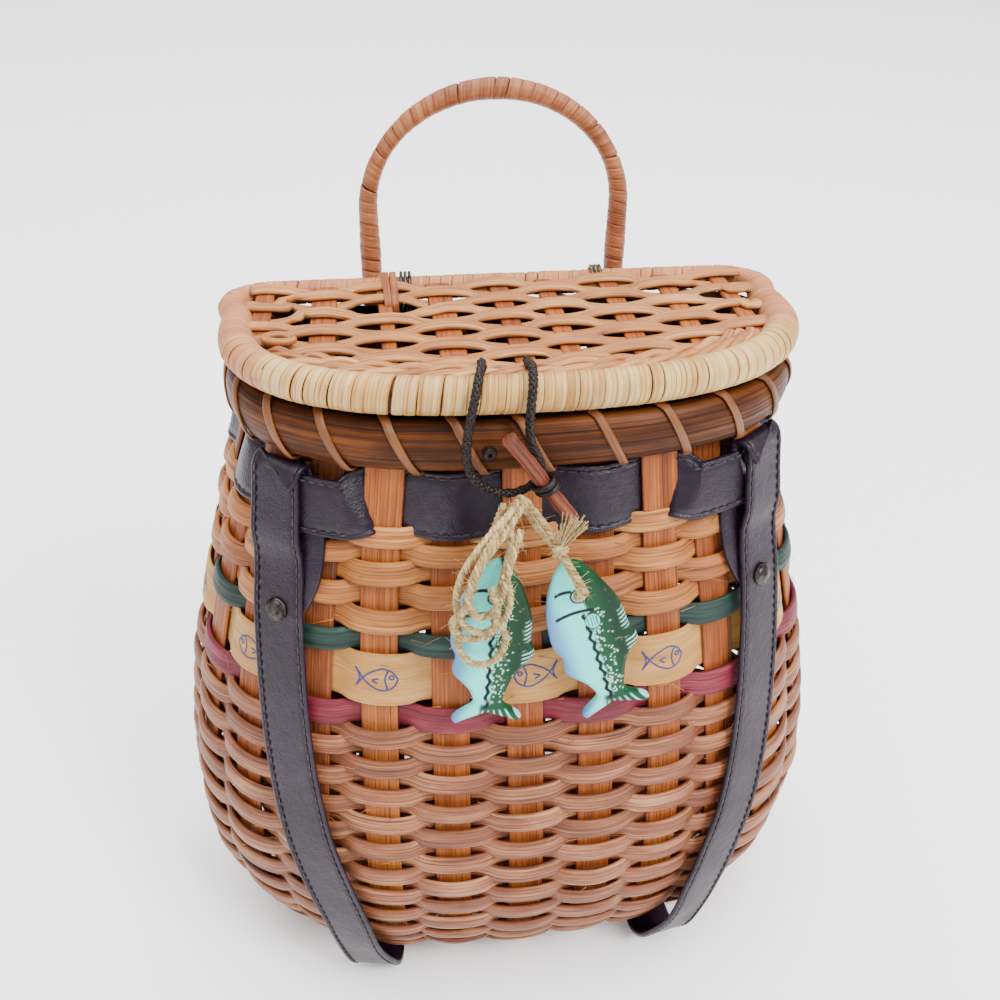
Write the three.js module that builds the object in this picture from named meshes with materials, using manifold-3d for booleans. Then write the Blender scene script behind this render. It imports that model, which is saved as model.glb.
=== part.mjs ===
// Fishing creel bag: a bulging woven basket with a flat back, a hinged woven lid, a cane handle,
// a leather band woven through the stake tops, two leather straps and a toggle closure with
// two painted wooden fish hung from it on twine. Millimetres, Z up, the front faces -Y.
import * as THREE from 'three';
import Module from 'manifold-3d';
import { mergeVertices } from 'three/addons/utils/BufferGeometryUtils.js';

const wasm = await Module();
wasm.setup();

// Plan outline of the basket, before it swells out or draws in with height
const HALF_WIDTH = 108;
const FRONT_DEPTH = 73.4;
const FRONT_ROUNDNESS = 2.49;
const BACK_DEPTH = 34.1;
const BACK_CORNER = 24.7;
const BACK_SWELL_SHARE = 0.53;

// Body, heights above the floor
const BASE_HEIGHT = 2.6;
const RIM_TOP = 247;
const RIM_HEIGHT = 17;
const BULGE = 19;
const RIM_INSET = 16.3;
const WALL = 3;
const FLOOR_THICKNESS = 3.4;
const STAKE_COUNT = 24;
const STAKE_SHARE = 0.5;
const STAKE_THICKNESS = 1.6;

// Accent rows round the body
const ROW_THICKNESS = 1.2;
const ROW_GAP = 0.4;
const PEN_ROW_MIDDLE = 157.3;
const PEN_ROW_WIDTH = 17.5;
const GREEN_ROW_WIDTH = 7.8;
const RED_ROW_WIDTH = 9;

// Leather
const BAND_HEIGHT = 22;
const BAND_THICKNESS = 2;
const BAND_DROP = 2.2;
const BAND_DIP = 2.8;
const STRAP_WIDTH = 25;
const STRAP_THICKNESS = 1.8;
const STRAP_TAIL_WIDTH = 15;
const RIVET_DIAMETER = 8;
const RIVET_HEIGHT = 1.8;

// Rim reeds and the cane lashed round them
const OUTER_REED = 5.5;
const INNER_REED = 3.2;
const REED_GAP = 2.3;
const LASHING_WIDTH = 4.8;
const LASHING_THICKNESS = 1;

// Lid
const LID_FRONT_DIAMETER = 12;
const LID_BACK_DIAMETER = 8.6;
const LID_OVERHANG = 2.6;
const LID_WEAVE_THICKNESS = 3;
const LIGHT_WRAP_SHARE = 0.215;

// Handle
const HANDLE_HALF_WIDTH = 45.3;
const HANDLE_MIDDLE = 1.2;
const HANDLE_TOP = 323;
const HANDLE_DIAMETER = 7.4;

// Closure and ornaments
const CORD_DIAMETER = 3;
const TWINE_DIAMETER = 2.2;
const TOGGLE_DIAMETER = 5.2;
const TOGGLE_LENGTH = 38;
const WIRE_DIAMETER = 1.2;
const WIRE_TURNS = 3;
const FISH_THICKNESS = 3.6;
const FISH_LENGTH = 66;
const FISH_WIDTH = 28;
const GAP = 0.3;

const RIM_BOTTOM = RIM_TOP - RIM_HEIGHT;
const BAND_TOP = RIM_BOTTOM - BAND_DROP;
const BAND_BOTTOM = BAND_TOP - BAND_HEIGHT;
const WEAVE_TOP = BAND_BOTTOM - 0.5;
const PEN_ROW = { height: PEN_ROW_MIDDLE, width: PEN_ROW_WIDTH };
const besidePen = (width) => PEN_ROW_WIDTH / 2 + ROW_GAP + width / 2;
const GREEN_ROW = { height: PEN_ROW_MIDDLE + besidePen(GREEN_ROW_WIDTH), width: GREEN_ROW_WIDTH };
const RED_ROW = { height: PEN_ROW_MIDDLE - besidePen(RED_ROW_WIDTH), width: RED_ROW_WIDTH };

// How far the body stands out at each height, as shares of the rim height and of the whole swell
const SWELL_ROWS = [
  { height: 0, swell: 0.0 },
  { height: 0.025, swell: 0.12 },
  { height: 0.07, swell: 0.64 },
  { height: 0.155, swell: 0.9 },
  { height: 0.255, swell: 1 },
  { height: 0.355, swell: 0.97 },
  { height: 0.45, swell: 0.87 },
  { height: 0.55, swell: 0.73 },
  { height: 0.65, swell: 0.57 },
  { height: 0.74, swell: 0.38 },
  { height: 0.83, swell: 0.16 },
  { height: 0.93, swell: 0.01 },
  { height: 1.5, swell: 0.0 },
];

const lerp = (a, b, t) => a + (b - a) * t;
const clamp = (v, lo, hi) => Math.min(hi, Math.max(lo, v));
const smooth = (t) => t * t * (3 - 2 * t);

function tableValue(rows, key, x, value) {
  if (x <= rows[0][key]) return rows[0][value];
  for (let i = 1; i < rows.length; i++) {
    if (x <= rows[i][key]) {
      const t = (x - rows[i - 1][key]) / (rows[i][key] - rows[i - 1][key]);
      return lerp(rows[i - 1][value], rows[i][value], t);
    }
  }
  return rows[rows.length - 1][value];
}

function swell(z) {
  return tableValue(SWELL_ROWS, 'height', z / RIM_TOP, 'swell') * (BULGE + RIM_INSET) - RIM_INSET;
}

// The outline runs once round from the middle of the front towards +X, measured along its length
function makeOutline() {
  const half = [];
  const FRONT_STEPS = 240;
  for (let i = 0; i <= FRONT_STEPS; i++) {
    const angle = (i / FRONT_STEPS) * (Math.PI / 2);
    const x = HALF_WIDTH * Math.pow(Math.sin(angle), 2 / FRONT_ROUNDNESS);
    const y = -FRONT_DEPTH * Math.pow(Math.cos(angle), 2 / FRONT_ROUNDNESS);
    half.push(new THREE.Vector2(x, y));
  }
  const CORNER_STEPS = 24;
  for (let i = 0; i <= CORNER_STEPS; i++) {
    const angle = (i / CORNER_STEPS) * (Math.PI / 2);
    const x = HALF_WIDTH - BACK_CORNER + BACK_CORNER * Math.cos(angle);
    const y = BACK_DEPTH - BACK_CORNER + BACK_CORNER * Math.sin(angle);
    half.push(new THREE.Vector2(x, y));
  }
  half.push(new THREE.Vector2(0, BACK_DEPTH));
  const mirrored = half.slice(1, -1).reverse().map((p) => new THREE.Vector2(-p.x, p.y));
  const points = half.concat(mirrored, [half[0].clone()]);
  const lengths = [0];
  for (let i = 1; i < points.length; i++) {
    lengths.push(lengths[i - 1] + points[i].distanceTo(points[i - 1]));
  }
  return { points, lengths, total: lengths[lengths.length - 1] };
}

const outline = makeOutline();

function outlinePoint(share) {
  const d = (share - Math.floor(share)) * outline.total;
  let lo = 0;
  let hi = outline.lengths.length - 1;
  while (hi - lo > 1) {
    const mid = (lo + hi) >> 1;
    if (outline.lengths[mid] <= d) lo = mid;
    else hi = mid;
  }
  const t = (d - outline.lengths[lo]) / (outline.lengths[hi] - outline.lengths[lo]);
  return new THREE.Vector2().lerpVectors(outline.points[lo], outline.points[hi], t);
}

const TANGENT_REACH = 0.004;

function outlineTangent(share) {
  const ahead = outlinePoint(share + TANGENT_REACH);
  return ahead.sub(outlinePoint(share - TANGENT_REACH)).normalize();
}

// A point on the wall: a share round the outline, a height, and a distance out of the wall's middle
function wallPoint(share, z, out) {
  const p = outlinePoint(share);
  const t = outlineTangent(share);
  const backness = smooth(clamp(p.y / BACK_DEPTH, 0, 1));
  const reach = swell(z) * lerp(1, BACK_SWELL_SHARE, backness) + out;
  return new THREE.Vector3(p.x + t.y * reach, p.y - t.x * reach, z);
}

function wallTangent(share) {
  const t = outlineTangent(share);
  return new THREE.Vector3(t.x, t.y, 0);
}

const PITCH = 1 / STAKE_COUNT;
const STRAP_STAKES = [3, 9];
const CORNER_STAKES = [7, 7.5, 8, 8.5];

// Columns that every ring round the basket shares, in stake numbers
function ringColumns() {
  const half = STAKE_SHARE / 2 + 0.02;
  const columns = [];
  for (let k = 0; k < STAKE_COUNT; k++) columns.push(k - half, k + half);
  for (const k of STRAP_STAKES) {
    columns.push(k - 0.5, k + 0.5, STAKE_COUNT - k - 0.5, STAKE_COUNT - k + 0.5);
  }
  for (const k of CORNER_STAKES) columns.push(k, STAKE_COUNT - k);
  return columns.sort((a, b) => a - b);
}

const columns = ringColumns();

// The back is flat between its corners, so a plain ring needs no columns there
const BACK_FLAT = { from: 9, to: 15 };
const plainColumns = columns.filter((k) => k < BACK_FLAT.from || k > BACK_FLAT.to);

// Mesh helpers
function geometryFrom(vertices, faces) {
  let volume = 0;
  for (const [a, b, c] of faces) {
    volume += vertices[a].dot(new THREE.Vector3().crossVectors(vertices[b], vertices[c]));
  }
  const geometry = new THREE.BufferGeometry();
  const coordinates = vertices.flatMap((v) => [v.x, v.y, v.z]);
  geometry.setAttribute('position', new THREE.Float32BufferAttribute(coordinates, 3));
  geometry.setIndex(faces.flatMap(([a, b, c]) => (volume > 0 ? [a, b, c] : [a, c, b])));
  return geometry;
}

// A skin over rings of points; a loop joins its last ring to its first, else both ends are capped
function loft(rings, loop) {
  const count = rings[0].length;
  const vertices = rings.flat();
  const faces = [];
  const last = loop ? rings.length : rings.length - 1;
  for (let i = 0; i < last; i++) {
    const a = i * count;
    const b = ((i + 1) % rings.length) * count;
    for (let j = 0; j < count; j++) {
      const k = (j + 1) % count;
      faces.push([a + j, a + k, b + j], [b + j, a + k, b + k]);
    }
  }
  if (!loop) {
    for (const [ring, flip] of [[0, true], [rings.length - 1, false]]) {
      const centre = new THREE.Vector3();
      rings[ring].forEach((v) => centre.add(v));
      const middle = vertices.push(centre.divideScalar(count)) - 1;
      for (let j = 0; j < count; j++) {
        const p = ring * count + j;
        const q = ring * count + ((j + 1) % count);
        faces.push(flip ? [middle, q, p] : [middle, p, q]);
      }
    }
  }
  return geometryFrom(vertices, faces);
}

function toManifold(geometry) {
  const bare = geometry.clone();
  bare.deleteAttribute('normal');
  bare.deleteAttribute('uv');
  const merged = mergeVertices(bare, 1e-4);
  return new wasm.Manifold(new wasm.Mesh({
    numProp: 3,
    vertProperties: new Float32Array(merged.attributes.position.array),
    triVerts: new Uint32Array(merged.index.array),
  }));
}

function fromManifold(manifold) {
  const mesh = manifold.getMesh();
  const geometry = new THREE.BufferGeometry();
  geometry.setAttribute('position', new THREE.BufferAttribute(new Float32Array(mesh.vertProperties), 3));
  geometry.setIndex(new THREE.BufferAttribute(new Uint32Array(mesh.triVerts), 1));
  return geometry;
}

const basket = new THREE.Group();

function addPiece(name, geometry, material) {
  const mesh = new THREE.Mesh(geometry, material);
  mesh.name = name;
  basket.add(mesh);
  return mesh;
}

function finish(color, roughness, metalness = 0) {
  return new THREE.MeshStandardMaterial({ color, roughness, metalness });
}

const materials = {
  reed: finish(0xc08255, 0.6),
  rimReed: finish(0x7a4428, 0.55),
  lightCane: finish(0xe6c48c, 0.45),
  darkCane: finish(0xb5774e, 0.45),
  leather: finish(0x4a3d47, 0.5),
  green: finish(0x2d4b42, 0.6),
  natural: finish(0xc9a26b, 0.6),
  red: finish(0x962f48, 0.6),
  cord: finish(0x2a1d18, 0.8),
  twine: finish(0xd4bf93, 0.9),
  metal: finish(0x4c4a48, 0.4, 0.9),
  wood: finish(0x8c4f33, 0.55),
  fishPaint: finish(0x3f8f6a, 0.4),
};

// A closed ring round the basket; the section gives points (out, z) for a stake number
function hoop(section, at = plainColumns) {
  return loft(at.map((k) => section(k).map((p) => wallPoint(k * PITCH, p.z, p.out))), true);
}

function bandSection(out, thickness, bottom, top, between = []) {
  const levels = [bottom, ...between, top];
  const face = (side) => levels.map((z) => ({ out: out + (side * thickness) / 2, z }));
  return [...face(1), ...face(-1).reverse()];
}

// Woven body: floor and wall in one, with the stake tops rising from it into the rim
function wovenBody() {
  const heights = SWELL_ROWS.map((row) => row.height * RIM_TOP)
    .filter((z) => z > BASE_HEIGHT && z < WEAVE_TOP - 4);
  const levels = [BASE_HEIGHT, ...heights, WEAVE_TOP];
  const ring = (z, out) => plainColumns.map((k) => wallPoint(k * PITCH, z, out));
  const innerFloor = BASE_HEIGHT + FLOOR_THICKNESS;
  const outer = levels.map((z) => ring(z, WALL / 2));
  const innerLevels = levels
    .filter((z, i) => z > innerFloor + 4 && (i % 2 === 0 || z === WEAVE_TOP))
    .reverse();
  const inner = innerLevels.map((z) => ring(z, -WALL / 2));
  return loft([...outer, ...inner, ring(innerFloor, -WALL)], false);
}

const STAKE_OUT = 1.2;
const isFront = (k) => k % 2 === 0;

function stakeTop(k) {
  const out = isFront(k) ? STAKE_OUT : -STAKE_OUT;
  const half = STAKE_SHARE / 2;
  const atCorner = CORNER_STAKES.includes(k) || CORNER_STAKES.includes(STAKE_COUNT - k);
  const across = atCorner ? [-half, 0, half] : [-half, half];
  const levels = [WEAVE_TOP - 3, lerp(BAND_BOTTOM, BAND_TOP, 0.5), RIM_BOTTOM, RIM_TOP - 2];
  const rings = levels.map((z) => {
    const face = (side, shares) => shares.map((along) => (
      wallPoint((k + along) * PITCH, z, out + (side * STAKE_THICKNESS) / 2)));
    return [...face(-1, across), ...face(1, [...across].reverse())];
  });
  return loft(rings, false);
}

function basketBody() {
  let body = toManifold(wovenBody());
  for (let k = 0; k < STAKE_COUNT; k++) body = body.add(toManifold(stakeTop(k)));
  return fromManifold(body);
}

addPiece('basket_body', basketBody(), materials.reed);

const rowOut = WALL / 2 + GAP + ROW_THICKNESS / 2;
for (const [name, row, material] of [
  ['green_row', GREEN_ROW, materials.green],
  ['pen_row', PEN_ROW, materials.natural],
  ['red_row', RED_ROW, materials.red],
]) {
  const bottom = row.height - row.width / 2;
  const top = row.height + row.width / 2;
  const bends = SWELL_ROWS.map((r) => r.height * RIM_TOP).filter((z) => z > bottom && z < top);
  const section = bandSection(rowOut, ROW_THICKNESS, bottom, top, bends);
  addPiece(name, hoop(() => section), material);
}

// Leather band: behind the even stakes, before the odd ones, and stood out over each strap's tail
const TAIL_OUT = WALL / 2 + GAP + STRAP_THICKNESS / 2;
const TAIL_SLACK = 0.7;
const BAND_OVER_TAIL = TAIL_OUT + STRAP_THICKNESS / 2 + GAP + TAIL_SLACK + BAND_THICKNESS / 2;
const BAND_WEAVE = STAKE_OUT - STAKE_THICKNESS / 2 - GAP - BAND_THICKNESS / 2 - 0.2;

function strapStakeNear(k) {
  const all = STRAP_STAKES.flatMap((s) => [s, STAKE_COUNT - s]);
  return all.some((s) => Math.abs(k - s) < 0.51);
}

function bandOut(k) {
  if (strapStakeNear(k)) return BAND_OVER_TAIL;
  if (Math.abs(k - Math.round(k)) > 0.4) return 0;
  return isFront(Math.round(k) % STAKE_COUNT) ? BAND_WEAVE : -BAND_WEAVE;
}

// Its top edge is pressed down where a strap folds over it and where a hinge wire passes
const foldedTop = BAND_TOP - BAND_DIP;
const WIRE_STAKE_GAPS = [10.5, 13.5];
function bandRing(k) {
  const underWire = WIRE_STAKE_GAPS.some((g) => Math.abs(k - g) < 0.3);
  const top = strapStakeNear(k) || underWire ? foldedTop : BAND_TOP;
  return bandSection(bandOut(k), BAND_THICKNESS, BAND_BOTTOM, top);
}

addPiece('leather_band', hoop(bandRing, columns), materials.leather);

// Rim: a half-round reed outside and a flat one inside, with the stake ends between them
function outerReed() {
  const bevel = RIM_HEIGHT * 0.28;
  const edge = REED_GAP + OUTER_REED * 0.58;
  const face = REED_GAP + OUTER_REED;
  const section = [
    { out: REED_GAP, z: RIM_BOTTOM },
    { out: edge, z: RIM_BOTTOM },
    { out: face, z: RIM_BOTTOM + bevel },
    { out: face, z: RIM_TOP - bevel },
    { out: edge, z: RIM_TOP },
    { out: REED_GAP, z: RIM_TOP },
  ];
  return hoop(() => section);
}

addPiece('rim_outer_reed', outerReed(), materials.rimReed);
const innerReed = bandSection(-REED_GAP - INNER_REED / 2, INNER_REED, RIM_BOTTOM, RIM_TOP);
addPiece('rim_inner_reed', hoop(() => innerReed), materials.rimReed);

// A flat strip swept through frames, each with a place, a width direction and a face direction
function strip(frames, loop) {
  const rings = frames.map(({ at, across, face, width, thickness }) => {
    const corners = [[-1, -1], [1, -1], [1, 1], [-1, 1]];
    return corners.map(([w, t]) => at.clone()
      .addScaledVector(across, (w * width) / 2)
      .addScaledVector(face, (t * thickness) / 2));
  });
  return loft(rings, loop);
}

// Frames along a path, given each point's rough width direction
function framesAlong(points, loop) {
  const n = points.length;
  return points.map((p, i) => {
    const before = points[loop ? (i + n - 1) % n : Math.max(0, i - 1)];
    const after = points[loop ? (i + 1) % n : Math.min(n - 1, i + 1)];
    const into = p.at.clone().sub(before.at).normalize();
    const outOf = after.at.clone().sub(p.at).normalize();
    const along = into.add(outOf).normalize();
    const face = new THREE.Vector3().crossVectors(along, p.across).normalize();
    return { at: p.at, across: p.across, face, width: p.width, thickness: p.thickness };
  });
}

// Lashing: one flat cane wound once for each stake, down the outside and up the inside of the rim
const LASH_CLEAR = GAP + LASHING_THICKNESS / 2;
const LASH_TWIST = 0.35;
const LASH_AT_CORNER = { outside: 1, inside: 2.8 };

function rimLashing() {
  const edge = REED_GAP + OUTER_REED * 0.58 + LASH_CLEAR;
  const face = REED_GAP + OUTER_REED + LASH_CLEAR + LASH_TWIST;
  const inside = -REED_GAP - INNER_REED - LASH_CLEAR - LASH_TWIST;
  const bevel = RIM_HEIGHT * 0.28;
  const over = RIM_TOP + LASH_CLEAR + LASH_TWIST;
  const under = RIM_BOTTOM - LASH_CLEAR - LASH_TWIST;
  const turn = [
    { phase: 0.04, out: edge, z: over },
    { phase: 0.16, out: face, z: RIM_TOP - bevel + 0.5 },
    { phase: 0.4, out: face, z: RIM_BOTTOM + bevel - 0.5 },
    { phase: 0.5, out: edge, z: under },
    { phase: 0.56, out: inside, z: under },
    { phase: 0.92, out: inside, z: over },
  ];
  const points = [];
  for (let k = 0; k < STAKE_COUNT; k++) {
    const fromBack = Math.abs(k + 0.5 - STAKE_COUNT / 2);
    const atCorner = fromBack > 3 && fromBack < 6;
    for (const t of turn) {
      const slack = t.out > 0 ? LASH_AT_CORNER.outside : -LASH_AT_CORNER.inside;
      const share = (k + t.phase) * PITCH;
      const at = wallPoint(share, t.z, t.out + (atCorner ? slack : 0));
      points.push({ at, across: wallTangent(share), width: LASHING_WIDTH, thickness: LASHING_THICKNESS });
    }
  }
  return strip(framesAlong(points, true), true);
}

addPiece('rim_lashing', rimLashing(), materials.darkCane);

// Straps: each a single strap with both ends looped over the leather band and riveted to itself
const STRAP_OVER_BAND = BAND_OVER_TAIL + (BAND_THICKNESS + STRAP_THICKNESS) / 2 + GAP;
const STRAP_OVER_TAIL = TAIL_OUT + STRAP_THICKNESS + GAP;
const STRAP_OVER_WALL = rowOut + (ROW_THICKNESS + STRAP_THICKNESS) / 2 + GAP;
const TAIL_END = GREEN_ROW.height + GREEN_ROW.width / 2 + 1.5;
const RIVET_LEVEL = TAIL_END + RIVET_DIAMETER / 2 + 1;
const FOLD_RISE = STRAP_THICKNESS / 2 + GAP + 0.7;

// How far out to the side each strap runs, by height, as shares of the rim height and the half width
const FRONT_RUN = [
  { height: 0.29, side: 0.67 },
  { height: 0.37, side: 0.71 },
  { height: 0.46, side: 0.735 },
  { height: 0.55, side: 0.745 },
  { height: 0.64, side: 0.742 },
  { height: 0.72, side: 0.73 },
  { height: 0.785, side: 0.715 },
  { height: 0.9, side: 0.7 },
];
const BACK_RUN = [
  { height: 0.29, side: 0.59 },
  { height: 0.46, side: 0.61 },
  { height: 0.64, side: 0.635 },
  { height: 0.785, side: 0.65 },
  { height: 0.9, side: 0.65 },
];

// Where the strap's face has a section, from the band down, with its distance out of the wall
const STRAP_LEVELS = [
  { z: foldedTop + 0.4, out: STRAP_OVER_BAND },
  { z: lerp(BAND_BOTTOM, BAND_TOP, 0.45), out: STRAP_OVER_BAND },
  { z: BAND_BOTTOM - 1, out: STRAP_OVER_BAND },
  { z: BAND_BOTTOM - 9, out: STRAP_OVER_TAIL },
  { z: RIVET_LEVEL, out: STRAP_OVER_TAIL },
  { z: TAIL_END - 2, out: STRAP_OVER_TAIL },
  { z: 0.64 * RIM_TOP, out: STRAP_OVER_WALL },
  { z: 0.55 * RIM_TOP, out: STRAP_OVER_WALL },
  { z: 0.46 * RIM_TOP, out: STRAP_OVER_WALL },
  { z: 0.37 * RIM_TOP, out: STRAP_OVER_WALL },
  { z: 0.29 * RIM_TOP, out: STRAP_OVER_WALL },
];

const sideAt = (run, z) => tableValue(run, 'height', z / RIM_TOP, 'side') * HALF_WIDTH;

function shareAtSide(x, z, atBack) {
  let lo = atBack ? 0.32 : 0.02;
  let hi = atBack ? 0.48 : 0.19;
  for (let i = 0; i < 30; i++) {
    const mid = (lo + hi) / 2;
    const tooFar = wallPoint(mid, z, 0).x > x;
    if (tooFar !== atBack) hi = mid;
    else lo = mid;
  }
  return (lo + hi) / 2;
}

function strapPoints(side) {
  const points = [];
  const add = (at, across, width = STRAP_WIDTH) => {
    points.push({ at, across, width, thickness: STRAP_THICKNESS });
  };
  const onWall = (share, z, out, width) => add(wallPoint(share, z, out), wallTangent(share), width);
  const faceShare = (run, z, atBack) => shareAtSide(sideAt(run, z), z, atBack);
  // Tail up behind the band, then the fold over the band's top edge
  const tailAndFold = (tailStake, face) => {
    const tail = tailStake * PITCH;
    const steps = [];
    for (const z of [TAIL_END, RIVET_LEVEL, SWELL_ROWS[10].height * RIM_TOP, foldedTop + 0.4]) {
      steps.push([tail, z, TAIL_OUT, STRAP_TAIL_WIDTH]);
    }
    for (const turn of [0.24, 0.5, 0.76]) {
      const share = lerp(tail, face, turn);
      const width = lerp(STRAP_TAIL_WIDTH, STRAP_WIDTH, turn);
      steps.push([share, foldedTop + FOLD_RISE, lerp(TAIL_OUT, STRAP_OVER_BAND, turn), width]);
    }
    return steps;
  };
  tailAndFold(STRAP_STAKES[0], faceShare(FRONT_RUN, foldedTop, false)).forEach((s) => onWall(...s));
  for (const level of STRAP_LEVELS) onWall(faceShare(FRONT_RUN, level.z, false), level.z, level.out);
  // Hanging proud of the lower front, bent at the floor, then flat under the basket to the back
  const flat = STRAP_THICKNESS / 2;
  const toX = new THREE.Vector3(1, 0, 0);
  const lean = wallTangent(faceShare(FRONT_RUN, STRAP_LEVELS[STRAP_LEVELS.length - 1].z, false));
  const middle = lean.clone().add(toX).normalize();
  const HANG = [
    { x: 0.638, y: -1.19, height: 0.21, across: lean },
    { x: 0.6, y: -1.175, height: 0.13, across: lean },
    { x: 0.56, y: -1.11, height: 0.06, across: middle },
    { x: 0.54, y: -1.03, height: 0.022, across: middle },
  ];
  for (const h of HANG) {
    add(new THREE.Vector3(h.x * HALF_WIDTH, h.y * FRONT_DEPTH, h.height * RIM_TOP + flat), h.across);
  }
  const UNDER = [
    { x: 0.53, y: -0.93 },
    { x: 0.5, y: -0.3 },
    { x: 0.5, y: 0.25 },
  ];
  for (const u of UNDER) add(new THREE.Vector3(u.x * HALF_WIDTH, u.y * FRONT_DEPTH, flat), toX);
  const RISE = [
    { x: 0.51, y: 1.12, height: 0 },
    { x: 0.52, y: 1.28, height: 0.02 },
    { x: 0.54, y: 1.37, height: 0.08 },
    { x: 0.56, y: 1.43, height: 0.16 },
    { x: 0.575, y: 1.46, height: 0.23 },
  ];
  for (const r of RISE) {
    add(new THREE.Vector3(r.x * HALF_WIDTH, r.y * BACK_DEPTH, r.height * RIM_TOP + flat), toX);
  }
  const upBack = (share, z, out, width) => add(wallPoint(share, z, out), wallTangent(share).negate(), width);
  const upwards = [...STRAP_LEVELS].reverse();
  for (const level of upwards) upBack(faceShare(BACK_RUN, level.z, true), level.z, level.out);
  tailAndFold(STRAP_STAKES[1], faceShare(BACK_RUN, foldedTop, true)).reverse().forEach((s) => upBack(...s));
  if (side < 0) {
    for (const p of points) {
      p.at.x = -p.at.x;
      p.across = new THREE.Vector3(p.across.x, -p.across.y, 0);
    }
  }
  return points;
}

function dome(diameter, height, sides) {
  const r = diameter / 2;
  const profile = [
    new THREE.Vector2(0, 0),
    new THREE.Vector2(r, 0),
    new THREE.Vector2(r * 0.86, height * 0.6),
    new THREE.Vector2(r * 0.4, height),
    new THREE.Vector2(0, height),
  ];
  return new THREE.LatheGeometry(profile, sides);
}

function seatDome(name, geometry, material, at, outward) {
  const mesh = addPiece(name, geometry, material);
  mesh.position.copy(at);
  mesh.quaternion.setFromUnitVectors(new THREE.Vector3(0, 1, 0), outward);
}

const RIVET_SEAT = STRAP_OVER_TAIL + STRAP_THICKNESS / 2 + GAP;
for (const [name, side] of [['left', -1], ['right', 1]]) {
  addPiece(`strap_${name}`, strip(framesAlong(strapPoints(side), false), false), materials.leather);
  for (const [place, run, atBack] of [['front', FRONT_RUN, false], ['back', BACK_RUN, true]]) {
    const share = shareAtSide(sideAt(run, RIVET_LEVEL), RIVET_LEVEL, atBack);
    const at = wallPoint(share, RIVET_LEVEL, RIVET_SEAT);
    const slope = wallPoint(share, RIVET_LEVEL + RIVET_DIAMETER / 2, 0);
    slope.sub(wallPoint(share, RIVET_LEVEL - RIVET_DIAMETER / 2, 0));
    const outward = new THREE.Vector3().crossVectors(wallTangent(share), slope).normalize();
    at.x *= side;
    outward.x *= side;
    seatDome(`rivet_${name}_${place}`, dome(RIVET_DIAMETER, RIVET_HEIGHT, 10), materials.metal, at, outward);
  }
}

// Lid: a rod bent to the rim's outline, wrapped thick round the front and thin round the back
const LID_REST = RIM_TOP + LASH_CLEAR + LASH_TWIST + LASHING_THICKNESS / 2 + GAP;

function lidRadius(share) {
  const away = Math.abs(share - Math.round(share));
  const t = smooth(clamp((away - LIGHT_WRAP_SHARE) / 0.12, 0, 1));
  return lerp(LID_FRONT_DIAMETER, LID_BACK_DIAMETER, t) / 2;
}

function lidCentre(share) {
  return wallPoint(share, LID_REST + lidRadius(share), LID_OVERHANG);
}

// A round ring across a path, with its sides counted from the level direction
function roundRing(centre, along, level, radius, sides) {
  const across = new THREE.Vector3().crossVectors(along, level).normalize();
  const lift = new THREE.Vector3().crossVectors(across, along).normalize();
  const ring = [];
  for (let j = 0; j < sides; j++) {
    const a = ((j + 0.5) / sides) * 2 * Math.PI;
    ring.push(centre.clone()
      .addScaledVector(across, Math.cos(a) * radius)
      .addScaledVector(lift, Math.sin(a) * radius));
  }
  return ring;
}

function roundRings(points, radii, level, sides) {
  return points.map((p, i) => {
    const before = points[Math.max(0, i - 1)];
    const after = points[Math.min(points.length - 1, i + 1)];
    return roundRing(p, after.clone().sub(before), level, radii[i], sides);
  });
}

function lidRim(fromStake, toStake) {
  const twice = plainColumns.concat(plainColumns.map((k) => k + STAKE_COUNT));
  const between = twice.filter((k) => k > fromStake + 0.2 && k < toStake - 0.2);
  const shares = [fromStake, ...between, toStake].map((k) => k * PITCH);
  const up = new THREE.Vector3(0, 0, 1);
  return loft(shares.map((s) => roundRing(lidCentre(s), wallTangent(s), up, lidRadius(s), 8)), false);
}

const wrapEnd = LIGHT_WRAP_SHARE * STAKE_COUNT;
const wrapGap = ((GAP + 0.2) / outline.total) * STAKE_COUNT;
addPiece('lid_front_rim', lidRim(STAKE_COUNT - wrapEnd, STAKE_COUNT + wrapEnd), materials.lightCane);
addPiece('lid_back_rim', lidRim(wrapEnd + wrapGap, STAKE_COUNT - wrapEnd - wrapGap), materials.darkCane);

const HINGE_Z = LID_REST + LID_BACK_DIAMETER / 2;
const HINGE_Y = wallPoint(0.5, HINGE_Z, LID_OVERHANG).y;
const LID_WEAVE_BOTTOM = HINGE_Z + 0.8;
const LID_WEAVE_TOP = LID_WEAVE_BOTTOM + LID_WEAVE_THICKNESS;

// Places along the back, and openings worked into the lid's weave measured from the hinge line,
// all as shares of the basket's half width
const WIRE_PLACES = [-0.298 * HALF_WIDTH, 0.346 * HALF_WIDTH];
const TIE_PLACE = -0.354 * HALF_WIDTH;
const LID_GAPS = [
  { x: -0.376, y: -0.208, length: 0.315, width: 0.041, turn: -0.1 },
  { x: -0.713, y: -0.116, length: 0.139, width: 0.026, turn: -0.2 },
  { x: -0.704, y: -0.181, length: 0.157, width: 0.026, turn: -0.15 },
  { x: -0.713, y: -0.245, length: 0.157, width: 0.026, turn: -0.1 },
  { x: -0.722, y: -0.310, length: 0.148, width: 0.024, turn: -0.05 },
  { x: 0.713, y: -0.130, length: 0.130, width: 0.026, turn: 0.22 },
  { x: 0.713, y: -0.194, length: 0.157, width: 0.026, turn: 0.2 },
  { x: 0.722, y: -0.259, length: 0.148, width: 0.026, turn: 0.16 },
  { x: 0.722, y: -0.324, length: 0.148, width: 0.026, turn: 0.12 },
  { x: 0.731, y: -0.389, length: 0.120, width: 0.024, turn: 0.08 },
];

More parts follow.
